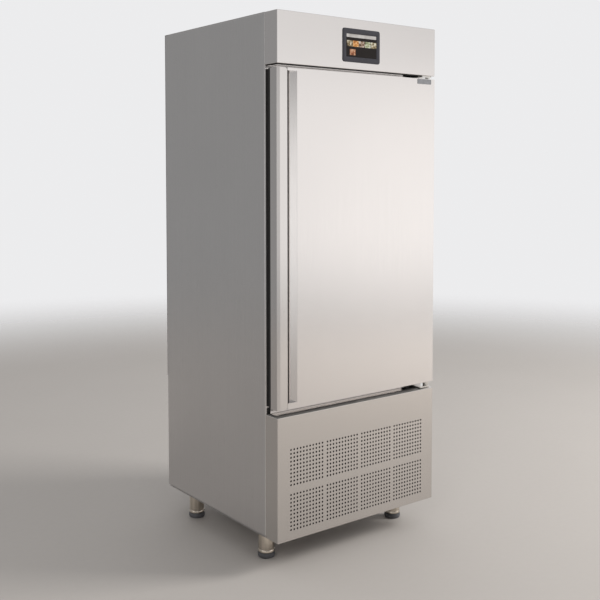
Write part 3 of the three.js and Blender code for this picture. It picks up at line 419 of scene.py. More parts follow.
grille_x, grille_y, grille_z = span("grille_panel")
CABINET_WIDTH = 800
HOLES_ACROSS, HOLES_UP = 11, 10
FIELDS_ACROSS, FIELDS_UP = 4, 2
FIELD_LEFT, FIELD_RIGHT, FIELD_GAP = 61.1, 68.3, 24.3
FIELD_HEIGHT, FIELD_RISE, FIRST_ROW = 131.9, 168.9, 39.9
HOLE_RADIUS, HOLE_SIDES = 3.9, 16
FIELD_PITCH = (CABINET_WIDTH - FIELD_LEFT - FIELD_RIGHT + FIELD_GAP) / FIELDS_ACROSS
PITCH_X = (FIELD_PITCH - FIELD_GAP) / (HOLES_ACROSS - 1)
PITCH_Z = FIELD_HEIGHT / (HOLES_UP - 1)
GRILLE_SHEET, GRILLE_EDGE, GRILLE_RETURN = 0.7, 12, 30


def grid_lines(start, fields, step, holes, pitch, ends):
    """Cell edges across the panel, and which cells hold a hole."""
    lines, holed = [ends[0]], []
    for field in range(fields):
        first = start + field * step
        lines += [first + (i - 0.5) * pitch for i in range(holes + 1)]
        holed += [False] + [True] * holes
    return [*lines, ends[1]], [*holed, False]


def perforated(bm, x, y, z):
    """The panel's flat face, a grid of cells of which many have a round hole."""
    xs, holed_x = grid_lines(grille_x[0] + FIELD_LEFT, FIELDS_ACROSS, FIELD_PITCH, HOLES_ACROSS,
        PITCH_X, x)
    zs, holed_z = grid_lines(grille_z[0] + FIRST_ROW, FIELDS_UP, FIELD_RISE, HOLES_UP, PITCH_Z, z)
    corner = [[bm.verts.new((a, y, b)) for b in zs] for a in xs]
    for i in range(len(xs) - 1):
        for j in range(len(zs) - 1):
            ring = [corner[i][j], corner[i + 1][j], corner[i + 1][j + 1], corner[i][j + 1]]
            if not (holed_x[i] and holed_z[j]):
                bm.faces.new(ring)
                continue
            centre = ((xs[i] + xs[i + 1]) / 2, y, (zs[j] + zs[j + 1]) / 2)
            hole = [bm.verts.new(p) for p in circle(centre, HOLE_RADIUS, "y", HOLE_SIDES)]
            side = HOLE_SIDES // 4
            for k in range(4):
                start = (side * k - 3 * side // 2) % HOLE_SIDES
                arc = [hole[(start + n) % HOLE_SIDES] for n in range(side + 1)]
                bm.faces.new([ring[k], ring[(k + 1) % 4], *reversed(arc)])
    return ([column[0] for column in corner] + corner[-1][1:]
        + [column[-1] for column in corner[-2::-1]] + corner[0][-2:0:-1])


def grille():
    bm = bmesh.new()
    rim = pan(bm, grille_x, grille_y, grille_z, stop=GRILLE_RETURN)
    fill_between(bm, rim, perforated(bm, inset(grille_x, GRILLE_EDGE), grille_y[0],
        inset(grille_z, GRILLE_EDGE)))
    drop(bm, lambda x, y, z: z < grille_z[0] + 1 and y > grille_y[0] + GRILLE_RETURN)
    sheet("grille", bm, steel_panel, ("grille_panel",), thick=GRILLE_SHEET)


def holes_painted_shade():
    """A black mesh mat in a thin frame behind the holes: painted shade, so that the holes look
    dark.
    """
    x, z = inset(grille_x, 40), (grille_z[0] + 26, grille_z[1] - 96)
    front, border, overlap = grille_y[0] + 1.6, 12, 4
    bm = bmesh.new()
    framed(bm, [(0, front), (border, front), (border, front + 4), (0, front + 4)], x, z)
    block(bm, inset(x, border - overlap), (front + 1.2, front + 2.8), inset(z, border - overlap),
        0.4)
    piece("holes_painted_shade", bm, painted_shade_black)


fascia_x, fascia_y, fascia_z = span("control_fascia")
screen_x, screen_y, screen_z = span("touch_screen")
WINDOW_GAP = 9  # from the screen to the opening in the fascia


def fascia():
    bm = bmesh.new()
    rim = pan(bm, fascia_x, fascia_y, fascia_z)
    window = rectangle(inset(screen_x, -WINDOW_GAP), inset(screen_z, -WINDOW_GAP))
    fill_between(bm, rim, [bm.verts.new((x, fascia_y[0], z)) for x, z in window])
    sheet("fascia", bm, steel_front, ("control_fascia",))


# painted shade: dark strips where the gap under the fascia, the frame's corner below the door and
# the ledge's front fall dark
SHADE_STRIP_END = 330  # short of the hinges
SHADE_STRIP_SETBACK, SHADE_STRIP_WIDE, SHADE_STRIP_SIDE = 3, 6, 15


def painted_shade_strips():
    """Strips of painted shade along the fascia's lower edge and the machine panel's ledge: black
    in the gap under the fascia and down the frame's corner below the door, grey for the dark
    reflection on the ledge's front.
    """
    left, face = grille_x[0] + SHADE_STRIP_SETBACK, span("front_frame")[1][0]
    strip, side = (left, left + SHADE_STRIP_WIDE), (left, left + SHADE_STRIP_SIDE)
    under = (fascia_z[0] - 4, fascia_z[0] + 0.2)
    front, turn = fascia_y[0] + SHADE_STRIP_SETBACK, fascia_y[0] + SHADE_STRIP_SETBACK + SHADE_STRIP_WIDE
    bm = bmesh.new()
    block(bm, (left, SHADE_STRIP_END), (front, turn), under, 0.8)
    block(bm, strip, (turn, fascia_y[1] - SHADE_STRIP_SETBACK), under, 0.8)
    block(bm, side, (face - 1.2, face + 0.2), (grille_z[1] + 1, door_z[0]), 0.4)
    piece("fascia_and_corner_painted_shade", bm, rubber_black)
    over = (grille_z[1] - 0.2, grille_z[1] + 1.4)
    front, turn = grille_y[0] + SHADE_STRIP_SETBACK, grille_y[0] + 34
    bm = bmesh.new()
    block(bm, (left, SHADE_STRIP_END), (front, turn), over, 0.5)
    block(bm, side, (turn, grille_y[1] - SHADE_STRIP_SETBACK), over, 0.5)
    piece("ledge_painted_shade", bm, painted_shade_grey)


# ---- door

door_x, door_y, door_z = span("door_outer_skin")
lip_x, lip_y, lip_z = span("door_handle")
DOOR_FRONT, DOOR_BACK = door_y
LIP_SHEET, LIP_CORNER, LIP_FOLD = 1.5, 12, 1.6
RECESS_FLOOR = DOOR_FRONT + 36
RECESS_MOUTH = lip_x[0] + 90.5
RECESS_SLOPE, RECESS_ROUND = 21, 5  # the wall slopes at 45 degrees, then turns inwards
RECESS_LOW, RECESS_HIGH = door_z[0] + 22, door_z[1] - 10.6
STEP_X, STEP_Y = lip_x[1] + 0.3, lip_y[0] + 12.3
SKIN_FOLD = 1.8


def hollowed(plain, hollow, z, gap=0):
    """A mesh from two plan sections; the hollow one runs along the recess."""
    low, high = RECESS_LOW - gap, RECESS_HIGH + gap
    levels = [(plain, z[0]), (plain, low), (hollow, low), (hollow, high), (plain, high),
        (plain, z[1])]
    bm = bmesh.new()
    loft(bm, [[(x, y, level) for x, y in section] for section, level in levels])
    ops.remove_doubles(bm, verts=bm.verts, dist=0.01)
    ops.dissolve_degenerate(bm, edges=bm.edges, dist=0.01)
    return bm


def door_skin():
    """The steel skin, open at the back, with the recess for the hand."""
    turns = [radians(45 + 9 * i) for i in range(6)]
    wall = [(RECESS_MOUTH - RECESS_SLOPE - RECESS_ROUND * (sin(t) - sin(turns[0])), DOOR_FRONT
        + RECESS_SLOPE + RECESS_ROUND * (cos(turns[0]) - cos(t))) for t in turns]
    near = [(door_x[1], DOOR_BACK), (door_x[1], DOOR_FRONT), (RECESS_MOUTH, DOOR_FRONT)]
    far = [(STEP_X, DOOR_FRONT), (STEP_X, STEP_Y), (door_x[0], STEP_Y), (door_x[0], DOOR_BACK)]
    hollow = [*near, *wall, (wall[-1][0], RECESS_FLOOR), (STEP_X, RECESS_FLOOR),
        (door_x[0], RECESS_FLOOR), far[-1]]
    plain = near + near[-1:] * (len(hollow) - len(near) - len(far)) + far
    bm = hollowed(plain, hollow, door_z)
    ops.dissolve_limit(bm, angle_limit=0.01, verts=bm.verts, edges=bm.edges)
    rear = [f for f in bm.faces if all(v.co.y > DOOR_BACK - 0.1 for v in f.verts)]
    ops.delete(bm, geom=rear, context="FACES")
    round_folds(bm, SKIN_FOLD)
    sheet("door_skin", bm, steel_front, ("door_outer_skin",), "door")


FOAM_GAP, BUSH_GAP = 1.5, 24


def door_foam():
    """The foam behind the skin, clear of the recess and of the hinge bushes."""
    x, y, z = span("door_insulation")
    front, back, left, right = DOOR_FRONT + FOAM_GAP, y[1], x[0], x[1] - BUSH_GAP
    step_x, step_y, floor_y = STEP_X + FOAM_GAP, STEP_Y + FOAM_GAP, RECESS_FLOOR + FOAM_GAP
    near = [(right, back), (right, front)]
    plain = [*near, *[(step_x, front)] * 3, (step_x, step_y), (left, step_y), (left, back)]
    hollow = [*near, (RECESS_MOUTH + 4, front), (RECESS_MOUTH - 15, front + 19),
        (RECESS_MOUTH - 18, front + 26), (RECESS_MOUTH - 18, floor_y), (left, floor_y),
        (left, back)]
    piece("door_foam", hollowed(plain, hollow, z, FOAM_GAP), foam_cream,
        ("door_insulation",), "door")


def door_lip():
    """The lip over the recess: a folded sheet with rounded free corners."""
    left, free, front = lip_x[0], lip_x[1], lip_y[0]
    reach = free - LIP_CORNER
    columns = [(left, DOOR_BACK), (left, front + 4), (left + 0.15, front + 3.3),
        (left + 0.7, front + 2.8), (left + 12.6, front + 0.12), (left + 13.4, front)]
    columns += [(reach + s, front) for s in (0, 3, 5.5, 7.6, 9.2)]
    columns += [(free - LIP_FOLD + LIP_FOLD * sin(t), front + LIP_FOLD * (1 - cos(t)))
        for t in (radians(22.5 * i) for i in range(5))]
    columns.append((free, front + 12))
    bm = bmesh.new()
    strips = []
    for x, y in columns:
        over = min(max(x - reach, 0), LIP_CORNER)
        short = LIP_CORNER - sqrt(LIP_CORNER ** 2 - over ** 2)
        strips.append([bm.verts.new((x, y, z)) for z in inset(lip_z, short)])
    for a, b in zip(strips, strips[1:]):
        bm.faces.new((a[0], b[0], b[1], a[1]))
    sheet("door_lip", bm, steel_lip, ("door_handle",), "door", LIP_SHEET, sharp=50)


def gasket():
    """The magnetic seal: a base strip, a bellows and the magnet's tube."""
    x, (near, far), z = span("door_gasket")
    width = 30
    side = [(1.5, near), (1.5, near + 1.8), (4, near + 2.4), (6, near + 4), (3, near + 5.6),
        (0.8, near + 7), (0.2, near + 9.4), (0.9, far - 0.8), (2.6, far)]
    bm = bmesh.new()
    framed(bm, side + [(width - by, y) for by, y in reversed(side)], x, z)
    piece("gasket", bm, rubber_black, ("door_gasket",), "door", 25)


def badge():
    """The bare badge plate with a raised rim."""
    x, (front, back), z = span("badge_plate")
    bm = bmesh.new()
    loft(bm, stepped(x, z, [(0, 2.5, back), (0, 2.5, front + 0.25), (0.25, 2.25, front),
        (1.3, 1.6, front), (1.6, 1.4, front + 0.25)]))
    piece("badge", bm, badge_metal, ("badge_plate",), "door")


def door_lining():
    """The door's inner sheet, with a shallow field pressed into it."""
    x, (hidden, face), z = span("door_inner_panel")
    bm = bmesh.new()
    face_rim = loft(bm, stepped(x, z, [(0, 6, hidden), (0, 6, face - 2), (0.6, 5.4, face - 0.6),
        (2, 4, face), (42, 24, face), (43.5, 22.5, face - 0.25), (46.5, 19.5, face - 0.85),
        (48, 18, face - 1)]), caps=False)[-1]
    bm.faces.new(face_rim)
    sheet("door_lining", bm, steel_liner, ("door_inner_panel",), "door", 1,
        BACKWARD)


# ---- display


def bezel():
    """The display's surround, which slopes down to the screen."""
    x, (front, rear), z = span("display_bezel")
    face = fascia_y[0] - 0.3
    hole = inset(screen_x, -0.3), inset(screen_z, -0.3)
    loops = stepped(x, z, [(0, 9, face), (0, 9, front + 1.1), (0.35, 8.65, front + 0.35),
        (1.1, 7.9, front)])
    loops += stepped(*hole, [(-2.2, 3.2, front), (0, 1.2, front + 1.3), (0, 1.2, rear),
        (-8, 3, rear), (-8, 3, face)])
    bm = bmesh.new()
    loft(bm, loops, ring=True)
    piece("bezel", bm, plastic_bezel, ("display_bezel",))


def glowing(name, colours, strength, grain, shift=0):
    """A part of the display's page: it shines, mottled in a few colours."""
    made, tree, shader = blank(name)
    mottle = noise_of(tree, grain, 2, 0.5, offset=(shift, 0, 0))
    stops = [(0.34 + 0.32 * i / (len(colours) - 1), c) for i, c in enumerate(colours)]
    feed(tree, shader, Base_Color=(0.01, 0.01, 0.01, 1), Roughness=0.12, Specular_IOR_Level=0.16,
        Emission_Strength=strength, Emission_Color=ramp_of(tree, mottle, stops))
    return made


PAGE_HEADER = ((0.36, 0.33, 0.31), (0.55, 0.52, 0.5))
PAGE_TILES = (  # dark, middle and light colour of each plain tile
    ((0.06, 0.04, 0.02), (0.27, 0.19, 0.09), (0.8, 0.74, 0.6)),
    ((0.32, 0.1, 0.02), (0.78, 0.36, 0.1), (0.95, 0.72, 0.45)),
    ((0.05, 0.03, 0.02), (0.34, 0.2, 0.12), (0.78, 0.72, 0.64)),
    ((0.07, 0.08, 0.04), (0.42, 0.44, 0.25), (0.88, 0.86, 0.74)),
    ((0.1, 0.06, 0.03), (0.46, 0.38, 0.22), (0.86, 0.82, 0.7)),
    ((0.1, 0.03, 0.015), (0.38, 0.13, 0.055), (0.66, 0.4, 0.25)),
)
TILE_WIDTH, TILE_HEIGHT, TILE_PITCH, TILES_ACROSS = 28.6, 22.5, 30.3, 5


def display():
    """A generic page: a grey header and plain mottled tiles."""
    front = screen_y[0]
    bm = bmesh.new()
    plate(bm, screen_x, screen_z, 1, screen_y)
    piece("screen", bm, screen_black, ("touch_screen",))
    left, top = screen_x[0], screen_z[1]
    near = (front - 0.12, front + 0.2)
    bm = bmesh.new()
    plate(bm, inset(screen_x, 0.6), (top - 13.2, top - 0.6), 0.8, near, 0.1)
    piece("page_header", bm, glowing("glow_header", PAGE_HEADER, 1, 25))
    for i, colours in enumerate(PAGE_TILES):
        row, column = divmod(i, TILES_ACROSS)
        x0 = left + (17 if row else 2.2 + TILE_PITCH * column)
        z1 = top - (57.5 if row else 25)
        bm = bmesh.new()
        plate(bm, (x0, x0 + TILE_WIDTH), (z1 - TILE_HEIGHT, z1), 1.6, near, 0.1)
        piece(f"page_tile_{i + 1}", bm,
            glowing(f"glow_tile_{i + 1}", colours, 0.85, 110, 3 * i))


# ---- feet

TUBE, RING, BORE = 31, 31.8, 20.4  # a foot's radii
BOLT_OUT = 38


def foot(corner):
    x, y, (low, top) = span("foot_socket_" + corner)
    centre = (middle(x), middle(y), low)
    tall = top - low
    bm = bmesh.new()
    block(bm, x, y, (top - 4, top), 0.8)
    turned(bm, [(BORE, 0), (RING - 0.7, 0), (RING, 0.7), (RING, 9.4), (RING - 0.5, 10.2),
        (TUBE - 0.3, 10.6), (TUBE - 0.3, 12.2), (TUBE, 12.8), (TUBE, tall - 6.5),
        (TUBE + 2, tall - 4.6), (TUBE + 2, tall - 4.1), (TUBE - 1.7, tall - 4.1), (TUBE - 1.7, 3),
        (BORE, 3)], centre, sides=72, ring=True)
    for place in corners(centre, BOLT_OUT, top):
        turned(bm, [(0, -9.6), (6, -9.6), (6.6, -9), (6.6, -4.1), (0, -4.1)], place, sides=6)
    piece("foot_tube_" + corner, bm, foot_grain_and_painted_bands, ("foot_socket_" + corner,))
    x, y, (low, high) = span("foot_base_" + corner)
    wide = (x[1] - x[0]) / 2
    bm = bmesh.new()
    turned(bm, [(0, 0), (wide - 6.5, 0), (wide - 4, 0.5), (wide - 1.6, 2.4), (wide - 0.5, 5.5),
        (wide, 10), (wide, 15.5), (wide - 0.7, 17), (wide - 2, 17.7), (wide - 2.6, 20), (22, 20.4),
        (19.6, 20.4), (19.6, high - 1), (18.6, high), (0, high)], (*centre[:2], 0), sides=72)
    piece("foot_pad_" + corner, bm, pad_grey, ("foot_base_" + corner,), "foot_"
        + corner)


# ---- casing sides and hinges

SIDE_FOLD = 4.5  # a soft fold that catches the light


def side_panel(word, side):
    x, y, z = span(word + "_side_panel")
    bm = bmesh.new()
    bm.faces.new(pan(bm, y, (-max(map(abs, x)), -min(map(abs, x))), z, SIDE_FOLD))
    for vert in bm.verts:
        vert.co = (-side * vert.co.y, vert.co.x, vert.co.z)
    sheet("side_" + word, bm, steel_side, (word + "_side_panel",),
        toward=(side, 0, 0))


def screw(bm, centre, out, radius, height):
    """A button-head screw with a socket; out is 1 towards the back."""
    profile = [(radius * 0.9, -0.4), (radius, 0.15), (radius * 0.96, height * 0.45),
        (radius * 0.72, height * 0.88), (radius * 0.46, height), (radius * 0.42, height),
        (radius * 0.4, height * 0.3), (0, height * 0.3)]
    turned(bm, [(r, out * d) for r, d in profile], centre, "y", 24)


def screws(name, xs, zs, y, out, radius, height):
    bm = bmesh.new()
    for x in xs:
        for z in zs:
            screw(bm, (x, y, z), out, radius, height)
    piece(name, bm, steel_bright)


ARM_WIDTH, ARM_CORNER, ARM_THICK = 62, 9.5, 5
PIN_RADIUS, PIN_IN, PIN_BACK = 5, 10, 18
BLOCK_END, BLOCK_DEEP, SCREW_IN = 98, 14, 9


def hinge(word, up, block_height, collar):
    """An arm with its pivot pin, and a black block screwed to the frame beside it: painted shade,
    for the dark patch seen beside the hinge.

    The pin's collar is a profile from the arm's seat.
    """
    x, y, z = span("hinge_bracket_" + word)
    seat, tip = z[::up]
    arm_left = x[1] - ARM_WIDTH
    outline = [(arm_left, y[1])]
    for cx, start in ((arm_left + ARM_CORNER, 180), (x[1] - ARM_CORNER, 270)):
        for i in range(7):
            turn = radians(start + 15 * i)
            outline.append((cx + ARM_CORNER * cos(turn), y[0] + ARM_CORNER
                + ARM_CORNER * sin(turn)))
    outline.append((x[1], y[1]))
    bm = bmesh.new()
    loft(bm, [[(a, b, level) for a, b in outline]
        for level in sorted((seat, seat + up * ARM_THICK))])
    pin = [(r, seat + up * d) for r, d in (*collar, (PIN_RADIUS, collar[-1][1]))]
    turned(bm, [*pin, (PIN_RADIUS, tip - up), (PIN_RADIUS - 1, tip), (0, tip),
        (0, seat + up * ARM_THICK)], (x[1] - PIN_IN, y[0] + PIN_BACK, 0), sides=32)
    piece("hinge_arm_" + word, bm, steel_bright, ("hinge_bracket_" + word,),
        sharp=30)
    # painted shade: the black block stands where the side of the hinge falls dark
    reach = (seat + up * 0.2, seat + up * block_height)
    left, right, front = x[1] - BLOCK_END, arm_left - 1, y[1] - BLOCK_DEEP
    bm = bmesh.new()
    block(bm, (left, right), (front, y[1]), reach, 2, 3)
    for along in (left + SCREW_IN, right - SCREW_IN):
        screw(bm, (along, front, middle(reach)), -1, 3.4, 1.6)
    piece("hinge_painted_shade_block_" + word, bm, paint_black)


# ---- chamber

LINER_COVE, COVE_STEPS = 14, 5
CHAMBER_X = (-340, 340)
CHAMBER_Z = inset(span("inner_liner")[2], SHEET)
CHAMBER_FRONT = span("inner_liner")[1][0]
CHAMBER_BACK = span("inner_liner")[1][1] - SHEET
RAILS, FIRST_RAIL, RAIL_PITCH = 15, 722.1, 70
STUD_DEPTHS, STUD_HEIGHTS = (-223.25, 56.75), (752.1, 1672.1)
SLOT_BELOW, SLOT_ABOVE = 21.5, 6.5  # the posts' slots, from the studs' axes
POST_IN, POST_HALF, SLOT_HALF, POST_FLANGE = 60, 15, 6.5, 14


def chamber_liner():
    """The chamber's coved walls, seen from inside."""
    rows = [(0, LINER_COVE, CHAMBER_FRONT), (0, LINER_COVE, CHAMBER_BACK - LINER_COVE)]
    rows += [(0.98 * by, LINER_COVE - 0.98 * by, CHAMBER_BACK - deep) for by,
        deep in quarter(LINER_COVE, COVE_STEPS)]
    bm = bmesh.new()
    bm.faces.new(loft(bm, stepped(CHAMBER_X, CHAMBER_Z, rows, COVE_STEPS), caps=False)[-1])
    sheet("liner", bm, steel_liner, ("inner_liner",))


def rack_studs():
    bm = bmesh.new()
    for side in (-1, 1):
        wall, tip = side * CHAMBER_X[1], side * (span("tray_rack_right")[0][1] - 7)
        for y in STUD_DEPTHS:
            for z in STUD_HEIGHTS:
                turned(bm, [(9, wall), (9, wall - side * 1.5), (6, wall - side * 3.5),
                    (6, tip + side), (5.2, tip), (0, tip)], (0, y, z), "x", 24)
    piece("rack_studs", bm, steel_bright)


def rack(side, word):
    """A tray rack: folded posts with drop slots, and angle rails."""
    x, y, z = span("tray_rack_" + word)
    tip = min(abs(v) for v in x)
    face = tip + 17
    body = "rack_" + word
    tapers = ((0, 8), (2.5, 3), (7, 0.6), (12, 0))  # from the end, and how much is cut
    ends = [(y[0] + d, by) for d, by in tapers] + [(y[1] - d, by) for d, by in tapers[::-1]]
    bm = bmesh.new()
    for i in range(RAILS):
        top = FIRST_RAIL + RAIL_PITCH * i + 2
        section = [(tip + 0.5, top), (face + 1, top), (face + 1, top - 14), (face - 0.6, top - 14),
            (face - 0.6, top - 2), (tip + 0.5, top - 2), (tip, top - 1)]
        loft(bm, [[(side * max(px, tip + by), along, pz) for px, pz in section] for along,
            by in ends])
    piece("rack_rails_" + word, bm, steel_liner, ("tray_rack_" + word,), body)
    bm = bmesh.new()
    levels = [z[0], *(h + by for h in STUD_HEIGHTS for by in (-SLOT_BELOW, SLOT_ABOVE)), z[1]]
    for post in inset(y, POST_IN):
        web = [post + by for by in (-POST_HALF, -SLOT_HALF, SLOT_HALF, POST_HALF)]
        plan = [(face + POST_FLANGE, web[0]), *((face, a) for a in web),
            (face + POST_FLANGE, web[-1])]
        grid = [[bm.verts.new((side * a, b, h)) for h in levels] for a, b in plan]
        for i in range(5):
            for j in range(5):
                if i != 2 or j not in (1, 3):  # where the slots are
                    ring = [grid[i][j], grid[i + 1][j], grid[i + 1][j + 1], grid[i][j + 1]]
                    bm.faces.new(ring[::-side])
    round_folds(bm, 2)
    sheet("rack_posts_" + word, bm, steel_liner, (), body, 1.5, None)


COWL_X, COWL_Y, COWL_Z = span("fan_cowl")
COWL_RETURN = 25
FAN_HEIGHTS = (989.135, 1481.565)
FAN_OPENING, FAN_RADIUS, HUB_RADIUS, BLADES = 152, 145, 42, 5


def inlet(bm, front, z, depth):
    """A fan's opening with a drawn rim; returns the points of its mouth."""
    return loft(bm, [circle((0, front + d, z), FAN_OPENING + by, "y", 64) for d,
        by in ((0, 5), (0.6, 2.6), (2.2, 1), (4.5, 0.2), (depth, 0))], caps=False)[0]


def cowl():
    """The evaporator's cover: a folded sheet with two drawn inlets."""
    front = COWL_Y[0]
    bm = bmesh.new()
    rim = pan(bm, COWL_X, COWL_Y, COWL_Z, 2.5, COWL_RETURN)
    fill_between(bm, rim, *[inlet(bm, front, z, 8) for z in FAN_HEIGHTS])
    drop(bm, lambda x, y, z: y > front + COWL_RETURN and not COWL_Z[0] + 1 < z < COWL_Z[1] - 1)
    sheet("cowl", bm, steel_liner, ("fan_cowl",))
    screws("cowl_screws", (-304, 304), (COWL_Z[0] + 30, middle(COWL_Z), COWL_Z[1]
        - 30), front + 0.2, -1, 5.5, 1.1)


def guard(name, z, y):
    """A welded wire guard over a fan."""
    bm = bmesh.new()
    for radius in (30, 54, 78, 102, 126, 149.5):
        tube(bm, circle((0, y, z), radius, "y", 56), 1.3, 8, closed=True)
    for i in range(6):
        angle = pi / 6 + pi * i / 3
        tube(bm, [(r * cos(angle), y + 1.9, z + r * sin(angle)) for r in (22, 151.5)], 1.5, 8)
    turned(bm, [(0, -1.4), (24, -1.4), (25.5, -0.6), (25.5, 1), (0, 1)], (0, y, z), "y")
    piece(name, bm, steel_bright, sharp=45)


def rotor(name, node, body, z, front):
    """A moulded fan: a domed hub and swept, cambered blades."""
    bm = bmesh.new()
    turned(bm, [(0, 0), (20, 0.4), (34, 2.6), (42, 7), (45, 13), (45, 30), (40.5, 30), (39.5, 21),
        (8, 20), (4.3, 20), (4.3, 5), (0, 5)], (0, front, z), "y")
    for blade in range(BLADES):
        loops = []
        for t in (j / 9 for j in range(10)):  # from the hub to the tip
            radius = HUB_RADIUS + (FAN_RADIUS - HUB_RADIUS) * t
            pitch = radians(40 - 17 * t)
            chord = 28.5 / sin(pitch) * (1 - 0.275 * (max(0, t - 0.82) / 0.18) ** 2)
            loop = []
            for turn in (2 * pi * k / 16 for k in range(16)):
                u = 0.5 * cos(turn)
                lift = 0.07 * chord * (1 - 4 * u * u) + 1.3 * sin(turn)
                across = u * chord * cos(pitch) - lift * sin(pitch)
                axial = u * chord * sin(pitch) + lift * cos(pitch) - 0.03 * chord
                angle = 2 * pi * blade / BLADES + 0.42 * t * t + across / radius
                loop.append((radius * cos(angle), front + 15 + max(-14.8, min(14.8, axial)), z
                    + radius * sin(angle)))
            loops.append(loop)
        loft(bm, loops)
    piece(name, bm, plastic_black, (node,), body, 40)


LEG_OUT, LEG_THICK, BAR_IN, BAR_HALF = 168, 8, 41, 8


def motor(name, node, z, hub_front, sheet_back):
    """A finned motor on a bar whose legs stand on the sheet in front."""
    front = hub_front + 31
    profile = [(0, 0.5), (14, 0.5), (16, 3), (34, 4), (39, 6), (41, 9)]
    for low in range(12, 37, 5):
        profile += [(41.8, low), (41.8, low + 2), (40, low + 2.6), (40, low + 4.4)]
    profile += [(40.5, 38), (36, 42.5), (22, 44.6), (0, 44.6)]
    bm = bmesh.new()
    turned(bm, profile, (0, front, z), "y")
    turned(bm, [(0, -12), (3.4, -12), (4, -11.4), (4, 3), (0, 3)], (0, front, z), "y", 20)
    piece(name, bm, paint_black, (node,), sharp=30)
    bm = bmesh.new()
    bar, tall = around(front + 24, 1.5), around(z, BAR_HALF)
    for side in (-1, 1):
        block(bm, (side * BAR_IN, side * LEG_OUT), bar, tall, 0.8)
        block(bm, (side * (LEG_OUT - LEG_THICK), side * LEG_OUT), (sheet_back + 0.3, bar[0]), tall,
            0.8)
        for out in (LEG_OUT - 4, BAR_IN + 9):
            screw(bm, (side * out, bar[1], z), 1, 4.5, 2.6)
    piece(name + "_bracket", bm, paint_black)


END_PLATE, END_FLANGE, FIN = 1.5, 15.5, 0.4
TUBE_STEP, TUBE_IN, TUBE_RADIUS = 20, 11, 3.9


def coil(name, node, pitch, legs=0, metal=coil_metal, frame_look=steel_side):
    """Thin fins between end plates, on a serpentine of copper tube."""
    x, y, z = span(node)
    z = (z[0] + legs, z[1])
    inner = inset(x, 16)
    left, right = inset(inner, 3)
    count = int((right - left) / pitch)
    bm = bmesh.new()
    for i in range(count + 1):
        fin = left + (right - left) * i / count
        block(bm, around(fin, FIN / 2), inset(y, 1.2), inset(z, 2))
    piece(name + "_fins", bm, metal, (node,))
    bm = bmesh.new()
    tall = (z[0] - legs, z[1])
    for side, edge in zip((-1, 1), inner):
        block(bm, (edge, edge + side * END_PLATE), y, tall, 0.4)
        for deep in ((y[0], y[0] + END_PLATE), (y[1] - END_PLATE, y[1])):
            block(bm, (edge + side * 1.4, edge + side * END_FLANGE), deep, tall, 0.4)
    for low in (z[0], z[1] - END_PLATE):
        block(bm, inner, y, (low, low + END_PLATE), 0.4)
    piece(name + "_frame", bm, frame_look)
    bm = bmesh.new()
    rows = int((z[1] - z[0] - 24) / TUBE_STEP)
    bend = TUBE_STEP / 2
    turns = [pi * k / 6 for k in range(1, 6)]
    for column in inset(y, TUBE_IN):
        route = []
        for i in range(rows + 1):
            height = z[0] + 12 + i * TUBE_STEP
            side = 1 if i % 2 == 0 else -1
            route += [(-side * inner[1], column, height), (side * inner[1], column, height)]
            if i < rows:
                route += [(side * (inner[1] + bend * sin(a)), column, height + bend
                    - bend * cos(a)) for a in turns]
        tube(bm, route, TUBE_RADIUS, 8)
    piece(name + "_tubes", bm, copper)


def drain():
    """The drip tray's outlet."""
    x, y, (low, top) = span("drain_pipe")
    tall = top - low
    bm = bmesh.new()
    turned(bm, [(12, 0), (13.4, 0), (14, 0.6), (14, tall - 14), (13, tall - 13), (13, tall - 9),
        (14, tall - 8), (14, tall), (12, tall)], (middle(x), middle(y), low), sides=40, ring=True)
    piece("drain", bm, plastic_black, ("drain_pipe",))


# ---- machine compartment

CONDENSER_FAN_Z, SHROUD_BACK = 315.3, -188.95
DECK, REAR_FACE, COVER_FACE = 118.3, 378.75, 378.45
PIPE_RADIUS, PIPE_BEND = 8, 30
PIPES = {  # where each starts, then what changes from corner to corner
    "suction_line": ((245.3, 175.25, 316.3), "x305 y317.25 z729.8"),
    "discharge_line": ((135, 64.95, 316.3), "y-143.95 x252 z560.3 y-274.25 z500.6"),
    "receiver_line": ((-252, -274.25, 500.6), "z560.3 y50.25 z323.3 x-230 y109.95"),
    "liquid_line": ((-230, 165.25, 378.6), "z438.3 x-170.3"),
    "evaporator_feed": ((-49.7, 165.25, 438.3), "x10 y225.25 x-305 y317.25 z729.8"),
}


def bent(points):
    """The route through corner points, each corner rounded."""
    route = [points[0]]
    for before, corner, after in zip(points, points[1:], points[2:]):
        a = corner + (before - corner).normalized() * PIPE_BEND
        b = corner + (after - corner).normalized() * PIPE_BEND
        route += [(1 - t) ** 2 * a + 2 * t * (1 - t) * corner + t * t * b
            for t in (i / 8 for i in range(9))]
    kept = [route[0]]
    for point in [*route[1:], points[-1]]:
        if (point - kept[-1]).length > 1:
            kept.append(point)
    return kept


def pipes():
    for node, (start, moves) in PIPES.items():
        points = [Vector(start)]
        for move in moves.split():
            points.append(points[-1].copy())
            points[-1]["xyz".index(move[0])] = float(move[1:])
        bm = bmesh.new()
        tube(bm, bent(points), PIPE_RADIUS, 16)
        piece(node + "_tube", bm, copper, (node,), sharp=60)


def drum(radius, height, cap, seam):
    """The profile of a drum with rounded ends and a seam round it."""
    low = [(radius * sin(a), cap * (1 - cos(a))) for a in (pi / 16 * i for i in range(9))]
    return low + seam + [(r, height - d) for r, d in reversed(low)]


COMPRESSOR_RADIUS, COMPRESSOR_HEIGHT, PORT_HEIGHT = 108.6, 300, 316.3
COMPRESSOR_FOOT, FOOT_OUT = 18, 82


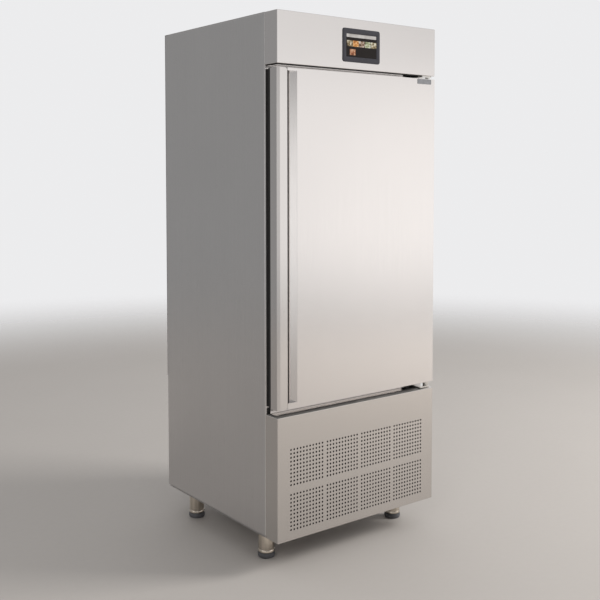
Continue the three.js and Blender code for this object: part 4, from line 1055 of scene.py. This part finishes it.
def compressor():
    x, y, _ = span("compressor")
    centre = (middle(x), middle(y), DECK + COMPRESSOR_FOOT)
    radius = COMPRESSOR_RADIUS
    bm = bmesh.new()
    turned(bm, drum(radius, COMPRESSOR_HEIGHT, 70,
        [(radius, 118), (radius + 1.3, 119), (radius + 1.3, 125), (radius, 126)]), centre,
        sides=64)
    for out, axis in ((1, "x"), (-1, "y")):
        turned(bm, [(0, out * 100), (13, out * 100), (13, out * 107.5), (10, out * 109.8),
            (0, out * 109.8)], (*centre[:2], PORT_HEIGHT), axis, 32)
    block(bm, (8, 40), around(centre[1], 34), (236, 306), 4, 3)
    block(bm, around(centre[0], FOOT_OUT), around(centre[1], FOOT_OUT), (centre[2], centre[2] + 4),
        1)
    piece("compressor_shell", bm, paint_black, ("compressor",), sharp=30)
    bm = bmesh.new()
    for place in corners(centre, FOOT_OUT, DECK):
        turned(bm, [(0, 0), (17, 0), (18, 1), (18, 6), (14, 8), (14, 12), (18, 14), (18, 30),
            (16, 33), (9, 36), (0, 36)], place, sides=32)
    piece("compressor_feet", bm, rubber_black)


def receiver():
    x, y, z = span("liquid_receiver")
    centre = (middle(x), middle(y), z[0])
    bm = bmesh.new()
    turned(bm, drum(55, z[1] - z[0], 30, [(55, 126), (54.2, 127), (54.2, 133), (55, 134)]), centre)
    block(bm, around(centre[0], 24), around(centre[1], 24), (DECK, DECK + 30), 1.5)
    piece("receiver", bm, paint_black, ("liquid_receiver",), sharp=30)
    x, y, z = span("filter_drier")
    bm = bmesh.new()
    turned(bm, [(0, 0), (8.6, 0), (8.6, 7), (13, 11), (19, 17), (20, 21), (20, 58), (19.4, 59),
        (19.4, 61), (20, 62), (20, 99), (19, 103), (13, 109), (8.6, 113), (8.6, 120), (0, 120)],
        (x[0], middle(y), middle(z)), "x", 40)
    piece("drier", bm, copper, ("filter_drier",), sharp=30)


def shroud():
    """The condenser's fan housing, a sheet box with a drawn ring."""
    x, y, z = span("condenser_shroud")
    mirrored = (-y[1], -y[0])
    bm = bmesh.new()
    rim = pan(bm, x, mirrored, z)
    fill_between(bm, rim, inlet(bm, mirrored[0], CONDENSER_FAN_Z, 9))
    ops.scale(bm, vec=(1, -1, 1), verts=bm.verts)
    sheet("shroud", bm, paint_black, ("condenser_shroud",), toward=BACKWARD)


GLAND_RIBS = 16


def power_gland():
    x, _, z = span("power_gland")
    centre = (middle(x), REAR_FACE, middle(z))
    bm = bmesh.new()
    turned(bm, [(6, -12.5), (11.2, -12.5), (12, -11.7), (12, 1), (14.6, 1), (14.6, 9), (14.2, 10),
        (14.2, 17), (12.4, 20.5), (9.5, 22), (6.6, 22), (6, 21)], centre, "y", 40, ring=True)
    turned(bm, [(13, 0), (16.2, 0), (17, 0.8), (17, 6.6), (16.2, 7.4), (13, 7.4)], centre, "y", 6,
        ring=True)
    for place in circle(centre, 14.4, "y", GLAND_RIBS):
        turned(bm, [(0, 9.5), (1, 9.5), (1, 16.6), (0, 17.6)], place, "y", 8)
    piece("gland", bm, plastic_black, ("power_gland",), sharp=30)


LOUVRES, FIRST_LOUVRE, LOUVRE_PITCH = 8, 236, 28


def louvre_hoods():
    """The hoods over the rear cover's slots, and the cover's screws."""
    section = [(0, 13.4), (3.2, 12.8), (6.2, 10.6), (8.4, 7), (9.2, 2.2), (9.2, 0.2), (8.1, 0.2),
        (8, 2.2), (7.3, 6.2), (5.5, 9.4), (2.8, 11.5), (-0.4, 12.2)]
    ends = [(230, 0.04), (229.4, 0.3), (227.6, 0.55), (224.5, 0.78), (220, 0.93), (214, 1)]
    stations = [(-x, share) for x, share in ends] + ends[::-1]
    bm = bmesh.new()
    for i in range(LOUVRES):
        low = FIRST_LOUVRE + LOUVRE_PITCH * i
        loft(bm, [[(x, COVER_FACE + out * share, low + up) for out, up in section] for x,
            share in stations])
    piece("louvre_hoods", bm, steel_side, sharp=40)
    screws("cover_screws", (-362, -120, 120, 362), (136, 582), COVER_FACE, 1, 4.2,
        2.5)


# ---- every piece in its place

for make in (grille, holes_painted_shade, fascia, painted_shade_strips, door_skin, door_foam, door_lip, gasket,
        badge, bezel, display):
    make()
for corner in ("front_left", "front_right", "rear_left", "rear_right"):
    foot(corner)
side_panel("left", -1)
side_panel("right", 1)
hinge("bottom", 1, 20, ((11, 5), (11, 21.6), (10.2, 22.2)))
hinge("top", -1, 9.8, ((9, 5), (9, 7.5)))
chamber_liner()
rack_studs()
rack(-1, "left")
rack(1, "right")
cowl()
for i, z in enumerate(FAN_HEIGHTS, 1):
    hub = COWL_Y[0] + 14
    guard(f"fan_guard_{i}", z, COWL_Y[0] + 1.6)
    rotor(f"fan_{i}", f"evaporator_fan_{i}", f"evaporator_rotor_{i}", z, hub)
    motor(f"fan_motor_{i}", f"evaporator_motor_{i}", z, hub, COWL_Y[0] + SHEET)
coil("evaporator", "evaporator_coil", 5)
drain()
door_lining()
rotor("condenser_rotor_fan", "condenser_fan", "condenser_rotor", CONDENSER_FAN_Z, SHROUD_BACK - 30)
motor("condenser_drive", "condenser_motor", CONDENSER_FAN_Z, SHROUD_BACK - 30, SHROUD_BACK)
coil("condenser", "condenser_coil", 4, 12, paint_black, paint_black)
for make in (shroud, pipes, compressor, receiver, power_gland, louvre_hoods):
    make()

for look, soft, nodes in (  # the CAD nodes that stay
        (steel_side, 0.5, "top_panel rear_panel base_panel rear_service_cover electrical_box"),
        (steel_front, 0.5, "front_frame"), (steel_liner, 0.5, "drip_tray"),
        (foam_cream, 0, "cabinet_insulation"), (board_green, 0.4, "control_board"),
        (plastic_black, 0.6, "door_frame_profile display_housing"),
        (plastic_black, 0.3, "hinge_bush_bottom hinge_bush_top")):
    for node in nodes.split():
        dress(node, look, soft)

# ---- studio

scene.view_settings.view_transform = "Standard"
FLOOR_SOLID, FLOOR_EDGE = 3.4, 7.5  # metres: the floor fades into the backdrop between them


def floor():
    bm = bmesh.new()
    rings = [circle((0, 0, 0), r, "z", 96) for r in (0.02, 2000, FLOOR_EDGE / MM)]
    bm.faces.new(loft(bm, rings, caps=False)[0])
    paint = finish("floor_paint", (0.485, 0.455, 0.43), 0, 0.7, 0.01, 1.5, 40, bump=0)
    tree = paint.node_tree
    place = add_node(tree, "TexCoord").outputs["Object"]
    reach = add_node(tree, "VectorMath", place, operation="LENGTH")
    fade = mapped(tree, reach.outputs["Value"], FLOOR_SOLID, FLOOR_EDGE, smooth=True)
    mix = add_node(tree, "MixShader", fade,
        tree.nodes["Principled BSDF"].outputs["BSDF"],
        add_node(tree, "BsdfTransparent").outputs["BSDF"])
    feed(tree, tree.nodes["Material Output"], Surface=mix.outputs["Shader"])
    made = mesh_object("floor", bm, paint)


AMBIENT = 0.32  # light from every side, to which the soft boxes add
SOFT_BOXES = (  # toward, cosines where it starts and is full, how much it adds
    ((0.7, -0.71, 0), 0.66, 0.96, (0.835, 0.815, 0.8)),
    ((0.73, -0.68, -0.06), 0.978, 0.9976, (0.24, 0.23, 0.22)),
)
HORIZON_REACH = 0.7  # the sine of 45 degrees
HORIZON = (  # share of the soft boxes' light, from 45 degrees down to 45 up
    (0, 0.12), (0.25, 0.21), (0.31, 0.18), (0.335, 0.15), (0.365, 0.25), (0.415, 0.7),
    (0.446, 0.86), (0.477, 0.78), (0.53, 0.78), (0.562, 0.75), (0.6, 0.52), (1, 0.5))
EVEN_BOXES = (  # these shine alike at every height within their reach
    ((0.55, -0.8, 0.2), 0.972, 0.997, (0.1, 0.1, 0.1)),
    ((0.69, -0.67, -0.27), 0.986, 0.999, (0.055, 0.053, 0.05)),
    ((-0.8, -0.6, -0.2), 0.94, 0.985, (0.35, 0.345, 0.34)),
    ((-0.8, -0.6, -0.03), 0.99, 0.9993, (0.5, 0.49, 0.48)),
    ((-0.99, -0.12, -0.1), 0.955, 0.995, (0.55, 0.54, 0.53)),
    ((0.6, 0.79, 0), 0.66, 0.92, (0.52, 0.52, 0.53)),
    ((0, 0, 1), 0.2, 0.9, (0.33, 0.33, 0.33)),
)


def boxes_of(tree, place, boxes, base):
    """The sum of soft boxes, by direction, over a base light."""
    total = (base, base, base)
    for toward, start, full, colour in boxes:
        dot = add_node(tree, "VectorMath", place, Vector(toward).normalized(),
            operation="DOT_PRODUCT").outputs["Value"]
        share = mapped(tree, dot, start, full, smooth=True)
        total = add_node(tree, "VectorMath", share, colour, total,
            operation="MULTIPLY_ADD").outputs["Vector"]
    return total


def world():
    made = bpy.data.worlds.new("studio")
    made.use_nodes = True
    scene.world = made
    tree = made.node_tree
    place = add_node(tree, "TexCoord").outputs["Generated"]
    height = add_node(tree, "SeparateXYZ", place).outputs["Z"]
    lift = mapped(tree, height, -HORIZON_REACH, HORIZON_REACH)
    share = ramp_of(tree, lift, [(at, (level, level, level)) for at, level in HORIZON])
    total = add_node(tree, "VectorMath", boxes_of(tree, place, SOFT_BOXES, 0), share,
        boxes_of(tree, place, EVEN_BOXES, AMBIENT), operation="MULTIPLY_ADD")
    feed(tree, tree.nodes["Background"], Color=total.outputs["Vector"])


LAMP_COLOUR = (1, 0.985, 0.96)


def lamp(name, place, target, size, power):
    """A soft lamp that the steel doesn't mirror."""
    data = bpy.data.lights.new(name, "AREA")
    data.shape = "RECTANGLE"
    data.size = data.size_y = size
    data.energy = power
    data.color = LAMP_COLOUR
    made = placed(name, data)
    made.location = place
    aim = Vector(target) - Vector(place)
    made.rotation_euler = aim.to_track_quat("-Z", "Y").to_euler()
    made.visible_glossy = False


CAMERA_PLACE = (-2.33854, -3.05582, 1.48609)
CAMERA_YAW, CAMERA_PITCH, CAMERA_ROLL = 37.356, -3.0015, 0.0516  # degrees
FOCAL_PIXELS, PICTURE_PIXELS = 914.539, 600
PRINCIPAL_POINT = (296.326, 218.381)
SENSOR = 36


def camera():
    data = bpy.data.cameras.new("camera")
    data.sensor_width = SENSOR
    data.lens = FOCAL_PIXELS / PICTURE_PIXELS * SENSOR
    data.shift_x = (PICTURE_PIXELS / 2 - PRINCIPAL_POINT[0]) / PICTURE_PIXELS
    data.shift_y = (PRINCIPAL_POINT[1] - PICTURE_PIXELS / 2) / PICTURE_PIXELS
    data.clip_end = 200
    made = placed("camera", data)
    turn = (Matrix.Rotation(radians(-CAMERA_YAW), 4, "Z")
        @ Matrix.Rotation(radians(90 + CAMERA_PITCH), 4, "X")
        @ Matrix.Rotation(radians(-CAMERA_ROLL), 4, "Z"))
    made.matrix_world = Matrix.Translation(CAMERA_PLACE) @ turn
    scene.camera = made


floor()
world()
lamp("key", (4.6, -3.4, 3.8), (0, 0, 0.5), 2.2, 322)
lamp("fill", (-4.4, -3.6, 3.4), (-2.9, -2.4, 0), 1.6, 50)
camera()
